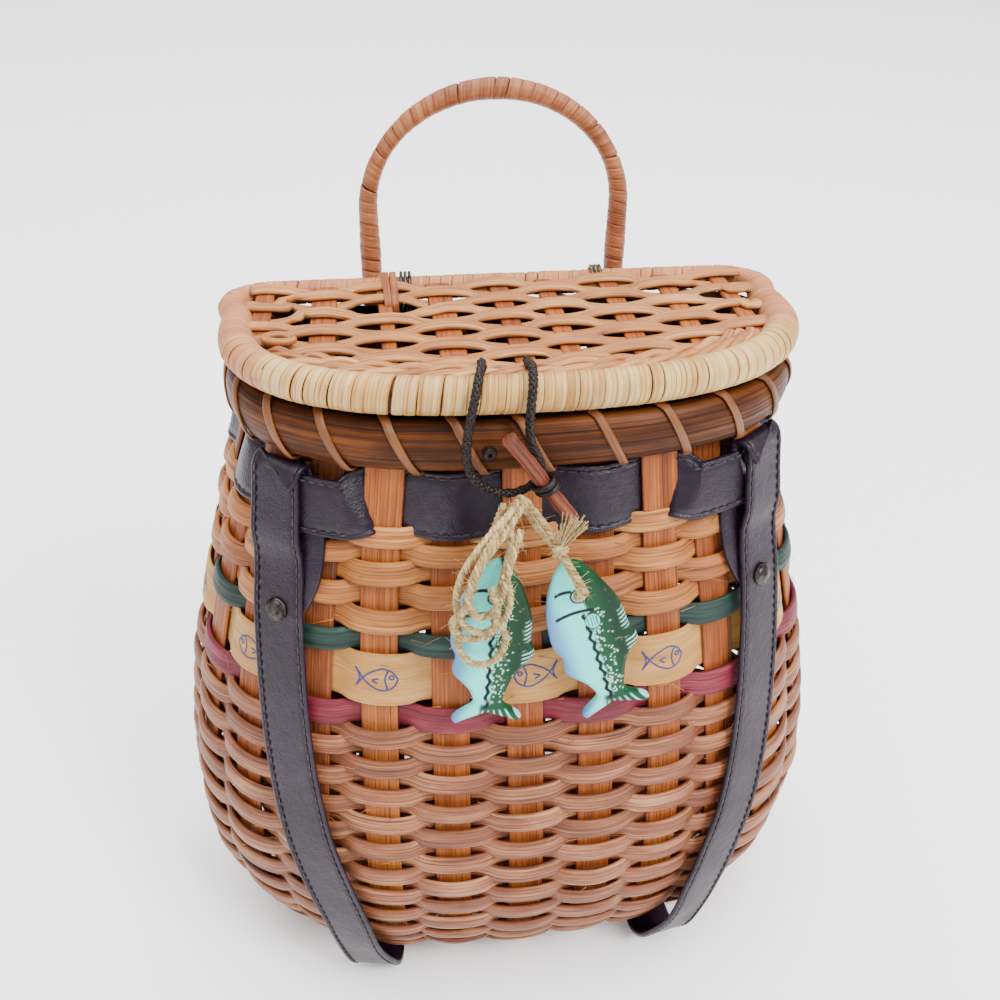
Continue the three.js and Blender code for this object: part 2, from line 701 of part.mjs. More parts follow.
function lidWeave() {
  const edge = (z) => plainColumns.map((k) => {
    const share = k * PITCH;
    const rise = z - LID_REST - lidRadius(share);
    const chord = Math.sqrt(lidRadius(share) ** 2 - rise ** 2);
    const p = wallPoint(share, LID_REST, LID_OVERHANG - chord - GAP * 2);
    return p.setZ(z);
  });
  let panel = toManifold(loft([edge(LID_WEAVE_BOTTOM), edge(LID_WEAVE_TOP)], false));
  const cut = (x, y, length, width, turn) => {
    const box = new THREE.BoxGeometry(length, width, LID_WEAVE_THICKNESS * 3);
    box.rotateZ(turn);
    box.translate(x, HINGE_Y + y, LID_WEAVE_TOP);
    panel = panel.subtract(toManifold(box));
  };
  const sized = (share) => share * HALF_WIDTH;
  for (const g of LID_GAPS) cut(sized(g.x), sized(g.y), sized(g.length), sized(g.width), g.turn);
  const notch = WIRE_TURNS * WIRE_DIAMETER + 4;
  for (const x of WIRE_PLACES) cut(x, -LID_BACK_DIAMETER / 2, notch, LID_BACK_DIAMETER, 0);
  return fromManifold(panel);
}

addPiece('lid_weave', lidWeave(), materials.reed);

// Two turns of cane over the back rod, down into the big gap of the lid's weave
function lidTie() {
  const rodReach = LID_BACK_DIAMETER / 2 + LASH_CLEAR + 0.5;
  const gapY = HINGE_Y + LID_GAPS[0].y * HALF_WIDTH;
  const onLid = LID_WEAVE_TOP + LASH_CLEAR;
  const TURN = [-0.25, 0.1, 0.4, 0.62];
  const path = TURN.map((t) => {
    const angle = Math.PI * t;
    return [HINGE_Y + rodReach * Math.cos(angle), HINGE_Z + rodReach * Math.sin(angle)];
  });
  path.push([HINGE_Y - 8, onLid + GAP], [gapY + 2.6, onLid + GAP]);
  path.push([gapY + 0.4, onLid - 1.2], [gapY, LID_WEAVE_BOTTOM - 1]);
  const across = new THREE.Vector3(1, 0, 0);
  const points = path.map(([y, z]) => (
    { at: new THREE.Vector3(TIE_PLACE, y, z), across, width: 5, thickness: LASHING_THICKNESS }));
  return strip(framesAlong(points, false), false);
}

addPiece('lid_tie', lidTie(), materials.darkCane);

// Hinge wires: three turns each round the lid's back rod and the basket's back rim together
function roundProfile(diameter, sides) {
  const shape = new THREE.Shape();
  for (let i = 0; i < sides; i++) {
    const a = ((i + 0.5) / sides) * 2 * Math.PI;
    const x = (Math.cos(a) * diameter) / 2;
    const y = (Math.sin(a) * diameter) / 2;
    if (i === 0) shape.moveTo(x, y);
    else shape.lineTo(x, y);
  }
  shape.closePath();
  return shape;
}

function tube(points, diameter, sides, steps) {
  const path = new THREE.CatmullRomCurve3(points, false, 'centripetal');
  const settings = { steps, extrudePath: path, bevelEnabled: false };
  return new THREE.ExtrudeGeometry(roundProfile(diameter, sides), settings);
}

function hingeWire(x) {
  const clear = LASHING_THICKNESS + GAP * 2 + WIRE_DIAMETER / 2 + 0.3;
  const rod = LID_BACK_DIAMETER / 2 + GAP + WIRE_DIAMETER / 2 + 0.2;
  const rimY = wallPoint(0.5, RIM_TOP, 0).y;
  const outer = rimY + REED_GAP + OUTER_REED + clear + LASH_TWIST;
  const inner = rimY - REED_GAP - INNER_REED - clear - LASH_TWIST;
  const low = RIM_BOTTOM - clear;
  const loopPoints = [
    [inner, RIM_BOTTOM - 1.2],
    [inner, RIM_TOP - 1],
    [HINGE_Y - rod * 1.02, HINGE_Z + 0.5],
    [HINGE_Y - rod * 0.7, HINGE_Z + rod * 0.75],
    [HINGE_Y, HINGE_Z + rod * 1.04],
    [HINGE_Y + rod * 0.7, HINGE_Z + rod * 0.75],
    [HINGE_Y + rod * 1.02, HINGE_Z],
    [outer, RIM_TOP - 3],
    [outer, RIM_BOTTOM - 1.2],
    [outer - 1, low - 0.3],
    [inner + 1, low - 0.3],
  ];
  const pitch = WIRE_DIAMETER + GAP;
  const points = [];
  for (let turn = 0; turn < WIRE_TURNS; turn++) {
    loopPoints.forEach(([y, z], i) => {
      const along = turn + i / loopPoints.length - WIRE_TURNS / 2;
      points.push(new THREE.Vector3(x + along * pitch, y, z));
    });
  }
  const radii = points.map(() => WIRE_DIAMETER / 2);
  return loft(roundRings(points, radii, new THREE.Vector3(1, 0, 0), 6), false);
}

addPiece('hinge_wire_left', hingeWire(WIRE_PLACES[0]), materials.metal);
addPiece('hinge_wire_right', hingeWire(WIRE_PLACES[1]), materials.metal);

// Handle: a cane arch standing on the outside of the back rim, thicker at its feet and its top
const HANDLE_SPRING = HANDLE_TOP - HANDLE_HALF_WIDTH * 0.98;
const HANDLE_FOOT = RIM_BOTTOM + 1;
const HANDLE_THICKNESS = [
  { along: 0, thickness: 0.86 },
  { along: 0.14, thickness: 1.04 },
  { along: 0.3, thickness: 0.76 },
  { along: 0.5, thickness: 1 },
  { along: 0.7, thickness: 0.8 },
  { along: 0.86, thickness: 1.04 },
  { along: 1, thickness: 0.86 },
];

const FOOT_TAPER = ((1 - HANDLE_THICKNESS[0].thickness) * HANDLE_DIAMETER) / 2;
const behindLashing = REED_GAP + OUTER_REED + LASHING_THICKNESS + GAP * 2 + LASH_TWIST + 0.1 - FOOT_TAPER;
const handleY = wallPoint(0.5, RIM_TOP, behindLashing).y + HANDLE_DIAMETER / 2;

function handle() {
  const points = [];
  const LEG_STEPS = 4;
  const ARCH_STEPS = 14;
  const leg = (side) => {
    const list = [];
    const x = HANDLE_MIDDLE + side * HANDLE_HALF_WIDTH;
    for (let i = 0; i < LEG_STEPS; i++) {
      list.push(new THREE.Vector3(x, handleY, lerp(HANDLE_FOOT, HANDLE_SPRING, i / LEG_STEPS)));
    }
    return list;
  };
  points.push(...leg(-1));
  const rise = HANDLE_TOP - HANDLE_DIAMETER / 2 - HANDLE_SPRING;
  for (let i = 0; i <= ARCH_STEPS; i++) {
    const a = Math.PI * (1 - i / ARCH_STEPS);
    const x = HANDLE_MIDDLE + Math.cos(a) * HANDLE_HALF_WIDTH;
    points.push(new THREE.Vector3(x, handleY, HANDLE_SPRING + Math.sin(a) * rise));
  }
  points.push(...leg(1).reverse());
  const radii = points.map((p, i) => {
    const share = tableValue(HANDLE_THICKNESS, 'along', i / (points.length - 1), 'thickness');
    return (share * HANDLE_DIAMETER) / 2;
  });
  return loft(roundRings(points, radii, new THREE.Vector3(0, 1, 0), 8), false);
}

addPiece('handle', handle(), materials.darkCane);

// A tack through each foot of the handle into the rim
const TACK_DIAMETER = 4;
const TACK_HEIGHT = 1.2;
const TACK_Z = lerp(RIM_BOTTOM, RIM_TOP, 0.45);
for (const [name, side] of [['left', -1], ['right', 1]]) {
  const x = HANDLE_MIDDLE + side * HANDLE_HALF_WIDTH;
  const at = new THREE.Vector3(x, handleY + HANDLE_DIAMETER / 2 + GAP, TACK_Z);
  const tack = dome(TACK_DIAMETER, TACK_HEIGHT, 8);
  seatDome(`handle_tack_${name}`, tack, materials.metal, at, new THREE.Vector3(0, 1, 0));
}

// Closure cord: out of the lid's weave, over the front rim, round under the toggle and back.
// Its places and those of the ornaments are from the middle of the front rim's top edge.
const frontY = wallPoint(0, RIM_TOP, 0).y;
const cordOnLid = LID_WEAVE_TOP + CORD_DIAMETER / 2 + GAP - RIM_TOP;
const CORD_ROUTE = [
  [-13.4, 11.6, cordOnLid],
  [-13.8, 6.5, cordOnLid + 0.8],
  [-14.6, 1, 15.3],
  [-15.8, -4.5, 15.6],
  [-17.4, -9.6, 12.2],
  [-18.8, -11.6, 7],
  [-20, -12.6, 1],
  [-20.6, -13.2, -5],
  [-20, -13.6, -10.5],
  [-17.4, -14, -15],
  [-13, -14.2, -18],
  [-8, -14.2, -19.2],
  [-3.2, -14, -18.2],
  [0.4, -13.6, -15.6],
  [1.6, -13.4, -11.6],
  [0.2, -13.2, -7.2],
  [-1.6, -12.8, -2.4],
  [-2, -12.2, 3],
  [-1.6, -11.2, 8.4],
  [-0.8, -8.6, 13.4],
  [-0.2, -3.8, 15.8],
  [0.2, 1, 15.3],
  [0.4, 6.5, cordOnLid + 0.8],
  [0.5, 11.6, cordOnLid],
].map(([x, y, rise]) => new THREE.Vector3(x, frontY + y, RIM_TOP + rise));

addPiece('closure_cord', tube(CORD_ROUTE, CORD_DIAMETER, 8, 36), materials.cord);

const TOGGLE_CENTRE = new THREE.Vector3(1, frontY - 18.4, RIM_TOP - 12.6);
const TOGGLE_LEAN = new THREE.Vector3(-0.565, 0.0, 0.825).normalize();
const TOGGLE_RADIUS = TOGGLE_DIAMETER / 2;
const toggleStick = new THREE.CylinderGeometry(TOGGLE_RADIUS, TOGGLE_RADIUS, TOGGLE_LENGTH, 10);
const toggle = addPiece('toggle', toggleStick, materials.wood);
toggle.position.copy(TOGGLE_CENTRE);
toggle.quaternion.setFromUnitVectors(new THREE.Vector3(0, 1, 0), TOGGLE_LEAN);

// Cord knot on the basket's own rim, which the toggle loop catches on
const KNOT_DIAMETER = 5;
const knotOut = REED_GAP + OUTER_REED + LASHING_THICKNESS + GAP * 2 + KNOT_DIAMETER / 2;
const knot = addPiece('rim_knot', new THREE.SphereGeometry(KNOT_DIAMETER / 2, 8, 6), materials.cord);
knot.position.copy(wallPoint(-0.62 * PITCH, lerp(RIM_BOTTOM, RIM_TOP, 0.62), knotOut));

// Fish: flat painted wood, hung by the eye from the twine, heads up
const FISH_HALF = [
  { along: 0, belly: 0.04, back: 0.04 },
  { along: 0.07, belly: 0.2, back: 0.18 },
  { along: 0.2, belly: 0.36, back: 0.32 },
  { along: 0.34, belly: 0.44, back: 0.42 },
  { along: 0.48, belly: 0.46, back: 0.44 },
  { along: 0.56, belly: 0.4, back: 0.5 },
  { along: 0.66, belly: 0.44, back: 0.3 },
  { along: 0.78, belly: 0.2, back: 0.22 },
  { along: 0.86, belly: 0.16, back: 0.18 },
  { along: 0.97, belly: 0.42, back: 0.44 },
  { along: 1, belly: 0.34, back: 0.36 },
];
const EYE_ALONG = 0.2;
const EYE_HOLE = TWINE_DIAMETER + 2 * GAP + 0.4;

function fishGeometry(bellySide) {
  const shape = new THREE.Shape();
  const eye = EYE_ALONG * FISH_LENGTH;
  const right = FISH_HALF.map((row) => [row.back * FISH_WIDTH * -bellySide, eye - row.along * FISH_LENGTH]);
  const left = FISH_HALF.map((row) => [row.belly * FISH_WIDTH * bellySide, eye - row.along * FISH_LENGTH]);
  const tailNotch = [0, eye - 0.93 * FISH_LENGTH];
  const points = [...right, tailNotch, ...left.reverse()];
  points.forEach(([x, y], i) => (i === 0 ? shape.moveTo(x, y) : shape.lineTo(x, y)));
  shape.closePath();
  const hole = new THREE.Path();
  for (let i = 0; i < 8; i++) {
    const a = ((i + 0.5) / 8) * 2 * Math.PI;
    const x = (Math.cos(a) * EYE_HOLE) / 2;
    const y = (Math.sin(a) * EYE_HOLE) / 2;
    if (i === 0) hole.moveTo(x, y);
    else hole.lineTo(x, y);
  }
  hole.closePath();
  shape.holes.push(hole);
  const geometry = new THREE.ExtrudeGeometry(shape, { depth: FISH_THICKNESS, bevelEnabled: false });
  geometry.rotateX(Math.PI / 2);
  return geometry;
}

const FISH_PLACES = [
  { name: 'fish_left', x: -13.5, stand: -26.6, rise: -46, lean: -0.06 },
  { name: 'fish_right', x: 11.5, stand: -27.4, rise: -47, lean: 0.3 },
];
for (const f of FISH_PLACES) {
  const mesh = addPiece(f.name, fishGeometry(-1), materials.fishPaint);
  mesh.position.set(f.x, frontY + f.stand, RIM_TOP + f.rise);
  mesh.rotation.set(0, -f.lean, 0);
}

// Twine: from the cord under the toggle to each fish, and a slack loop beside the left one
function eyeOf(i) {
  const f = FISH_PLACES[i];
  return new THREE.Vector3(f.x, frontY + f.stand, RIM_TOP + f.rise);
}

const throughEye = (i) => [
  eyeOf(i).add(new THREE.Vector3(0, -FISH_THICKNESS - 2.6, 2.4)),
  eyeOf(i).add(new THREE.Vector3(0, -FISH_THICKNESS - 1.2, 0.2)),
  eyeOf(i).add(new THREE.Vector3(0, -0.4, 0)),
];
const TWINE_LEFT = [[-7.4, -16.7, -21.4], [-8.6, -23, -26], [-10, -29.8, -30], [-12.4, -33, -37.4]];
const TWINE_RIGHT = [[-4.9, -16.7, -21.4], [-0.6, -23, -26], [4.6, -30.6, -30.4], [9.2, -33.8, -38]];
const TWINE_LOOP = [
  [-9.9, -16.7, -21.4],
  [-14.2, -24, -26.4],
  [-18.2, -30.4, -33.4],
  [-22.4, -33, -43],
  [-25.2, -33.6, -53],
  [-25.2, -33.8, -62],
  [-21.4, -33.8, -68],
  [-16.2, -33.8, -68.6],
  [-12.2, -33.8, -64.4],
  [-11, -34, -58.6],
  [-12.8, -34.8, -52.8],
];
const place = (list) => list.map(([x, y, rise]) => new THREE.Vector3(x, frontY + y, RIM_TOP + rise));
const twineTo = (list, i) => tube([...place(list), ...throughEye(i)], TWINE_DIAMETER, 8, 11);
addPiece('twine_left', twineTo(TWINE_LEFT, 0), materials.twine);
addPiece('twine_right', twineTo(TWINE_RIGHT, 1), materials.twine);
addPiece('twine_loop', tube(place(TWINE_LOOP), TWINE_DIAMETER, 8, 18), materials.twine);

// The origin goes on the floor under the middle of what rests there, ornaments and cords left out
const ORNAMENTS = ['closure_cord', 'toggle', 'twine_left', 'twine_right', 'twine_loop',
  'fish_left', 'fish_right'];
const box = new THREE.Box3();
basket.updateMatrixWorld(true);
for (const mesh of basket.children) {
  if (!ORNAMENTS.includes(mesh.name)) box.expandByObject(mesh, true);
}
const centre = box.getCenter(new THREE.Vector3());
basket.position.set(-centre.x, -centre.y, -box.min.z);
basket.updateMatrixWorld(true);

export default basket;
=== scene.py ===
import math

import bpy
import numpy as np
from mathutils import Matrix, Vector


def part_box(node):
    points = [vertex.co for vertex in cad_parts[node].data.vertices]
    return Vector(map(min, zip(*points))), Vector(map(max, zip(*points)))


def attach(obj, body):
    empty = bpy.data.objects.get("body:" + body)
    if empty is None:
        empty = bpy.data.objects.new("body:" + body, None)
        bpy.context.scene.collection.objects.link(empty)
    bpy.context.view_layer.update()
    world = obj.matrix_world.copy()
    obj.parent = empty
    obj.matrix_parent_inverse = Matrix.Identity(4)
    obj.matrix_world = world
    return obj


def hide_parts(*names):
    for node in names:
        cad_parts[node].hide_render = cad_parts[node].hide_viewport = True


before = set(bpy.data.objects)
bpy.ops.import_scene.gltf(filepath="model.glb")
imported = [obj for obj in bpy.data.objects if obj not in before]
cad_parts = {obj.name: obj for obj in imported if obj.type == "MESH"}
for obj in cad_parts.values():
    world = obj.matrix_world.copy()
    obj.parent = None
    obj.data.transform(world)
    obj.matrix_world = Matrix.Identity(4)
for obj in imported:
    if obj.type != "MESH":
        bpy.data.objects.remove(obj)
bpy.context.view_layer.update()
rng = np.random.default_rng(7)

# Sizes in millimetres, in the part's own frame before its shift to the origin
HALF_WIDTH = 108
FRONT_DEPTH = 73.4
FRONT_ROUNDNESS = 2.49
BACK_DEPTH = 34.1
BACK_CORNER = 24.7
BACK_SWELL_SHARE = 0.53
BASE_HEIGHT = 2.6
RIM_TOP = 247
RIM_BOTTOM = 230
RIM_MIDDLE = (RIM_TOP + RIM_BOTTOM) / 2
BULGE = 19
RIM_INSET = 16.3
BAND_TOP = 227.8
BAND_BOTTOM = 205.8
BAND_DIP = 2.8
LID_REST = 248.95
LID_OVERHANG = 2.6
HINGE_Z = 253.25
STAKES = 24
PEN_ROW = 158.4
LOWER_TOP = 136.6
MAT_PITCH = 13.2
TWINE = 2.2
TOGGLE_LENGTH = 36
RIVET_HEIGHT = 180.75
STRAP = 18.5
TIE_X = -38.2
HANDLE_TOP = 323
HANDLE_X = 1.2
HANDLE_HALF_SPAN = 45.3
HANDLE_RADIUS = 3.7
FISH_LENGTH = 66
FISH_WIDTH = 28
FISH_EYE = 0.2

# The top leans in a little, more on the left than on the right
LEAN_LEFT = 0.05
LEAN_RIGHT = 0.018
LEAN_FROM = 186
LEAN_TO = 238

# The wall's swell as a share of its greatest, at shares of the rim's height
SWELL_H = [0, 0.025, 0.07, 0.155, 0.255, 0.355, 0.45, 0.55, 0.65, 0.74, 0.83, 0.93, 1.5]
SWELL_V = [0, 0.12, 0.64, 0.9, 1, 0.97, 0.87, 0.73, 0.57, 0.38, 0.16, 0.01, 0]


def step(x, low, high):
    """Runs smoothly from 0 at low to 1 at high."""
    t = np.clip((x - low) / (high - low), 0, 1)
    return t * t * (3 - 2 * t)


def smooth_swell():
    """Heights and the swell there, smoothed above the base so that the wall has no kinks."""
    z = np.arange(-20, 340, 0.5)
    sharp = np.interp(z / RIM_TOP, SWELL_H, SWELL_V)
    kernel = np.exp(-0.5 * (np.arange(-20, 21) * 0.5 / 4.5) ** 2)
    smooth = np.convolve(np.pad(sharp, 20, mode="edge"), kernel / kernel.sum(), mode="valid")
    mix = np.clip((z - 12) / 14, 0, 1)
    return z, sharp * (1 - mix) + smooth * mix


HEIGHTS, SWELLS = smooth_swell()


def swell(z):
    """How far the wall stands outside the rim's outline at a height."""
    return np.interp(z, HEIGHTS, SWELLS) * (BULGE + RIM_INSET) - RIM_INSET


def lengths_of(path):
    """The length along a path at each of its points."""
    return np.concatenate([[0], np.cumsum(np.linalg.norm(np.diff(path, axis=0), axis=1))])


def at_lengths(path, marks):
    """The path's values at lengths along it."""
    at = lengths_of(path)
    return np.stack([np.interp(marks, at, path[:, i]) for i in range(path.shape[1])], -1)


def around(u, v, angle):
    """Directions at angles from u towards v."""
    return u * np.cos(angle)[:, None] + v * np.sin(angle)[:, None]


def span(edge, axis, value):
    """Where a closed edge is crossed by a line along the other axis, or zeros where it isn't."""
    other = 1 - axis
    a, b = edge, np.roll(edge, -1, 0)
    hit = (a[:, axis] - value) * (b[:, axis] - value) < 0
    t = (value - a[hit, axis]) / (b[hit, axis] - a[hit, axis])
    c = a[hit, other] + t * (b[hit, other] - a[hit, other])
    return (c.min(), c.max()) if len(c) else (0, 0)


def make_outline():
    """The rim's outline, from the middle of the front all the way round."""
    a = np.linspace(0, np.pi / 2, 241)
    front = np.stack(
        [
            HALF_WIDTH * np.sin(a) ** (2 / FRONT_ROUNDNESS),
            -FRONT_DEPTH * np.cos(a) ** (2 / FRONT_ROUNDNESS),
        ],
        1,
    )
    a = np.linspace(0, np.pi / 2, 25)
    corner = np.stack(
        [
            HALF_WIDTH - BACK_CORNER + BACK_CORNER * np.cos(a),
            BACK_DEPTH - BACK_CORNER + BACK_CORNER * np.sin(a),
        ],
        1,
    )
    half = np.vstack([front, corner, [[0, BACK_DEPTH]]])
    left = half[1:-1][::-1] * [-1, 1]
    points = np.vstack([half, left, half[:1]])
    return points


OUTLINE = make_outline()
PERIMETER = lengths_of(OUTLINE)[-1]


def outline_at(share):
    """Places at shares of the way round the outline."""
    return at_lengths(OUTLINE, (share - np.floor(share)) * PERIMETER)


def lean(z, amount):
    """What a half of the top keeps of its width as it leans in towards the rim."""
    return 1 - amount * step(z, LEAN_FROM, LEAN_TO)


def wall(share, z, out):
    """Points on the wall, and the outline's tangent there."""
    share, z, out = np.broadcast_arrays(*[np.asarray(v, float) for v in (share, z, out)])
    p = outline_at(share)
    t = outline_at(share + 0.004) - outline_at(share - 0.004)
    t /= np.linalg.norm(t, axis=-1, keepdims=True)
    back = step(p[..., 1], 0, BACK_DEPTH)
    reach = swell(z) * (1 + (BACK_SWELL_SHARE - 1) * back) + out
    x = p[..., 0] + t[..., 1] * reach
    x = x * lean(z, np.where(x < 0, LEAN_LEFT, LEAN_RIGHT))
    points = np.stack([x, p[..., 1] - t[..., 0] * reach, z], -1)
    return points, np.stack([t[..., 0], t[..., 1], np.zeros_like(z)], -1)


def wall_frames(share, z, out):
    """Points, outward normals and upward directions on the wall."""
    points, t = wall(share, z, out)
    up = wall(share, np.asarray(z) + 1.0, out)[0] - wall(share, np.asarray(z) - 1.0, out)[0]
    up /= np.linalg.norm(up, axis=-1, keepdims=True)
    normal = np.cross(t, up)
    return points, normal / np.linalg.norm(normal, axis=-1, keepdims=True), up


UP = np.array([0, 0, 1.0])
FORWARD = np.array([0, -1.0, 0])

# The part stands centred, so its outline moves back by as much as the CAD's rim says
SHIFT = np.array([0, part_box("rim_outer_reed")[1].y * 1000 - wall(0.5, RIM_TOP, 7.8)[0][1], 0])


def metres(p):
    """From the sizes' own frame in millimetres to the scene."""
    return (np.asarray(p, float) + SHIFT) / 1000


def unit(v):
    return v / np.maximum(np.linalg.norm(v, axis=-1, keepdims=True), 1e-12)


def photo_camera():
    """The camera, at the photo's viewing angle."""
    camera = bpy.data.objects.new("camera", bpy.data.cameras.new("camera"))
    bpy.context.scene.collection.objects.link(camera)
    camera.data.lens = 37.37
    camera.data.clip_start = 0.01
    yaw, pitch, roll = (math.radians(v) for v in (7.96, 33.65, 0.84))
    forward = Vector((math.sin(yaw) * math.cos(pitch), math.cos(yaw) * math.cos(pitch), -math.sin(pitch)))
    level = Vector((math.cos(yaw), -math.sin(yaw), 0))
    upright = level.cross(forward)
    right = level * math.cos(roll) + upright * math.sin(roll)
    top = upright * math.cos(roll) - level * math.sin(roll)
    matrix = Matrix((right, top, -forward)).transposed().to_4x4()
    matrix.translation = Vector(metres([-46.6, -328.2, 398.0]))
    camera.matrix_world = matrix
    bpy.context.scene.camera = camera


photo_camera()


# Meshes swept from strands
def oval(count, power):
    """A rounded section, from an ellipse at power 2 to nearly a box at 5."""
    a = np.arange(count) / count * 2 * np.pi
    c, s = np.cos(a), np.sin(a)
    return np.stack([np.sign(c) * abs(c) ** (2 / power), np.sign(s) * abs(s) ** (2 / power)], 1)


def spline(points, steps):
    """A smooth curve through points, with extra values carried along in further columns."""
    p = np.asarray(points, float)
    p = np.vstack([2 * p[0] - p[1], p, 2 * p[-1] - p[-2]])
    gaps = np.sqrt(np.maximum(np.linalg.norm(np.diff(p[:, :3], axis=0), axis=1), 1e-6))
    out = []
    for i in range(1, len(p) - 2):
        d0, d1, d2 = gaps[i - 1], gaps[i], gaps[i + 1]
        m1 = (p[i] - p[i - 1]) / d0 - (p[i + 1] - p[i - 1]) / (d0 + d1) + (p[i + 1] - p[i]) / d1
        m2 = (p[i + 1] - p[i]) / d1 - (p[i + 2] - p[i]) / (d1 + d2) + (p[i + 2] - p[i + 1]) / d2
        m1, m2 = m1 * d1, m2 * d1
        t = np.linspace(0, 1, steps, endpoint=False)[:, None]
        t2, t3 = t * t, t * t * t
        ends = (2 * t3 - 3 * t2 + 1) * p[i] + (3 * t2 - 2 * t3) * p[i + 1]
        out.append(ends + (t3 - 2 * t2 + t) * m1 + (t3 - t2) * m2)
    return np.vstack(out + [p[-2][None]])


def make_piece(name, verts, faces, material, body, node, attribute, kind, field, values):
    """A piece from points in millimetres, which rides on a body and may stand for a node of the CAD.

    The attribute gives each point a value that the material reads.
    """
    mesh = bpy.data.meshes.new(name)
    mesh.from_pydata(metres(verts).tolist(), [], faces)
    data = mesh.attributes.new(attribute, kind, "POINT").data
    data.foreach_set(field, values.astype(np.float32).ravel())
    mesh.validate()
    mesh.shade_smooth()
    mesh.materials.append(material)
    piece = bpy.data.objects.new(name, mesh)
    bpy.context.scene.collection.objects.link(piece)
    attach(piece, body)
    if node:
        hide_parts(node)
    return piece


class Strands:
    """Collects swept strands into one mesh, whose grain gives along, across and a number per strand."""

    def __init__(self):
        self.verts, self.faces, self.grain, self.count = [], [], [], 0

    def raw(self, verts, faces, grain=None):
        self.verts.append(verts)
        self.faces += [tuple(i + self.count for i in f) for f in faces]
        self.grain.append(np.zeros((len(verts), 3)) if grain is None else grain)
        self.count += len(verts)

    def add(self, path, normal, half_width, half_thick, section, seed=None, closed=False, slant=None):
        path = np.asarray(path, float)
        n, m = len(path), len(section)
        if closed:
            tangent = np.roll(path, -1, 0) - np.roll(path, 1, 0)
        else:
            tangent = np.gradient(path, axis=0)
        tangent = unit(tangent)
        across = unit(np.cross(normal, tangent))
        face = unit(np.cross(tangent, across))
        if slant is not None:
            s = np.asarray(slant)[..., None]
            across, face = across * np.cos(s) + face * np.sin(s), face * np.cos(s) - across * np.sin(s)
        half_width = np.broadcast_to(np.asarray(half_width, float), (n,))[:, None, None]
        half_thick = np.broadcast_to(np.asarray(half_thick, float), (n,))[:, None, None]
        wide = across[:, None] * section[None, :, :1] * half_width
        deep = face[:, None] * section[None, :, 1:] * half_thick
        along = lengths_of(path)
        seed = rng.random() if seed is None else seed
        seed = np.broadcast_to(np.asarray(seed, float), (n,))
        grain = np.zeros((n, m, 3))
        grain[..., 0] = along[:, None] / 1000
        grain[..., 1] = section[None, :, 0] * half_width[..., 0] / 1000
        grain[..., 2] = seed[:, None]
        base = self.count
        idx = np.arange(n * m).reshape(n, m) + base
        last = n if closed else n - 1
        a = idx[:last]
        b = idx[np.arange(1, last + 1) % n]
        quads = np.stack([a, np.roll(a, -1, 1), np.roll(b, -1, 1), b], -1).reshape(-1, 4)
        self.faces += quads.tolist()
        self.verts.append((path[:, None] + wide + deep).reshape(-1, 3))
        self.grain.append(grain.reshape(-1, 3))
        self.count += n * m
        if not closed:
            self.faces.append(idx[0][::-1].tolist())
            self.faces.append(idx[-1].tolist())

    def build(self, name, material, body="basket", node=None):
        verts, grain = np.vstack(self.verts), np.vstack(self.grain)
        return make_piece(
            name, verts, self.faces, material, body, node, "grain", "FLOAT_VECTOR", "vector", grain
        )


# Materials
class Nodes:
    """A material's node tree, with short calls for the nodes that are used here."""

    def __init__(self, name):
        self.material = bpy.data.materials.new(name)
        self.material.use_nodes = True
        self.tree = self.material.node_tree
        self.shader = self.tree.nodes["Principled BSDF"]

    def add(self, kind, *inputs, **settings):
        node = self.tree.nodes.new("ShaderNode" + kind)
        for key, value in settings.items():
            setattr(node, key, value)
        for i, value in enumerate(inputs):
            self.put(node.inputs[i], value)
        return node

    def put(self, socket, value):
        if value is None:
            return
        if isinstance(value, bpy.types.NodeSocket):
            self.tree.links.new(value, socket)
        else:
            socket.default_value = value

    def math(self, operation, a, b=0.0):
        return self.add("Math", a, b, operation=operation).outputs[0]

    def times(self, a, b):
        return self.math("MULTIPLY", a, b)

    def plus(self, a, b):
        return self.math("ADD", a, b)

    def vector(self, x, y, z):
        return self.add("CombineXYZ", x, y, z).outputs[0]

    def mapped(self, value, low, high, to_low=0.0, to_high=1.0):
        return self.add("MapRange", value, low, high, to_low, to_high).outputs[0]

    def noise(self, vector, scale, detail=3.0, rough=0.6):
        node = self.add("TexNoise")
        self.put(node.inputs["Vector"], vector)
        node.inputs["Scale"].default_value = scale
        node.inputs["Detail"].default_value = detail
        node.inputs["Roughness"].default_value = rough
        return node.outputs[0]

    def ramp(self, value, *stops):
        node = self.add("ValToRGB", value)
        elements = node.color_ramp.elements
        while len(elements) < len(stops):
            elements.new(0.5)
        for element, (place, colour) in zip(elements, stops):
            element.position = place
            element.color = (*colour, 1)
        return node.outputs[0]

    def mix(self, factor, a, b):
        node = self.add("Mix", data_type="RGBA")
        self.put(node.inputs[0], factor)
        for socket, value in ((node.inputs[6], a), (node.inputs[7], b)):
            self.put(socket, (*value, 1) if isinstance(value, tuple) and len(value) == 3 else value)
        return node.outputs[2]

    def bump(self, height, distance, strength=1.0, under=None):
        node = self.add("Bump")
        node.inputs["Strength"].default_value = strength
        node.inputs["Distance"].default_value = distance
        self.put(node.inputs["Height"], height)
        self.put(node.inputs["Normal"], under)
        return node.outputs[0]

    def place(self):
        return self.add("TexCoord").outputs["Object"]

    def grain(self):
        attribute = self.add("Attribute", attribute_name="grain")
        return self.add("SeparateXYZ", attribute.outputs["Vector"]).outputs

    def done(self, colour, roughness, normal=None, **fixed):
        self.put(self.shader.inputs["Base Color"], colour)
        self.put(self.shader.inputs["Roughness"], roughness)
        self.put(self.shader.inputs["Normal"], normal)
        for key, value in fixed.items():
            self.shader.inputs[key.replace("_", " ")].default_value = value
        return self.material


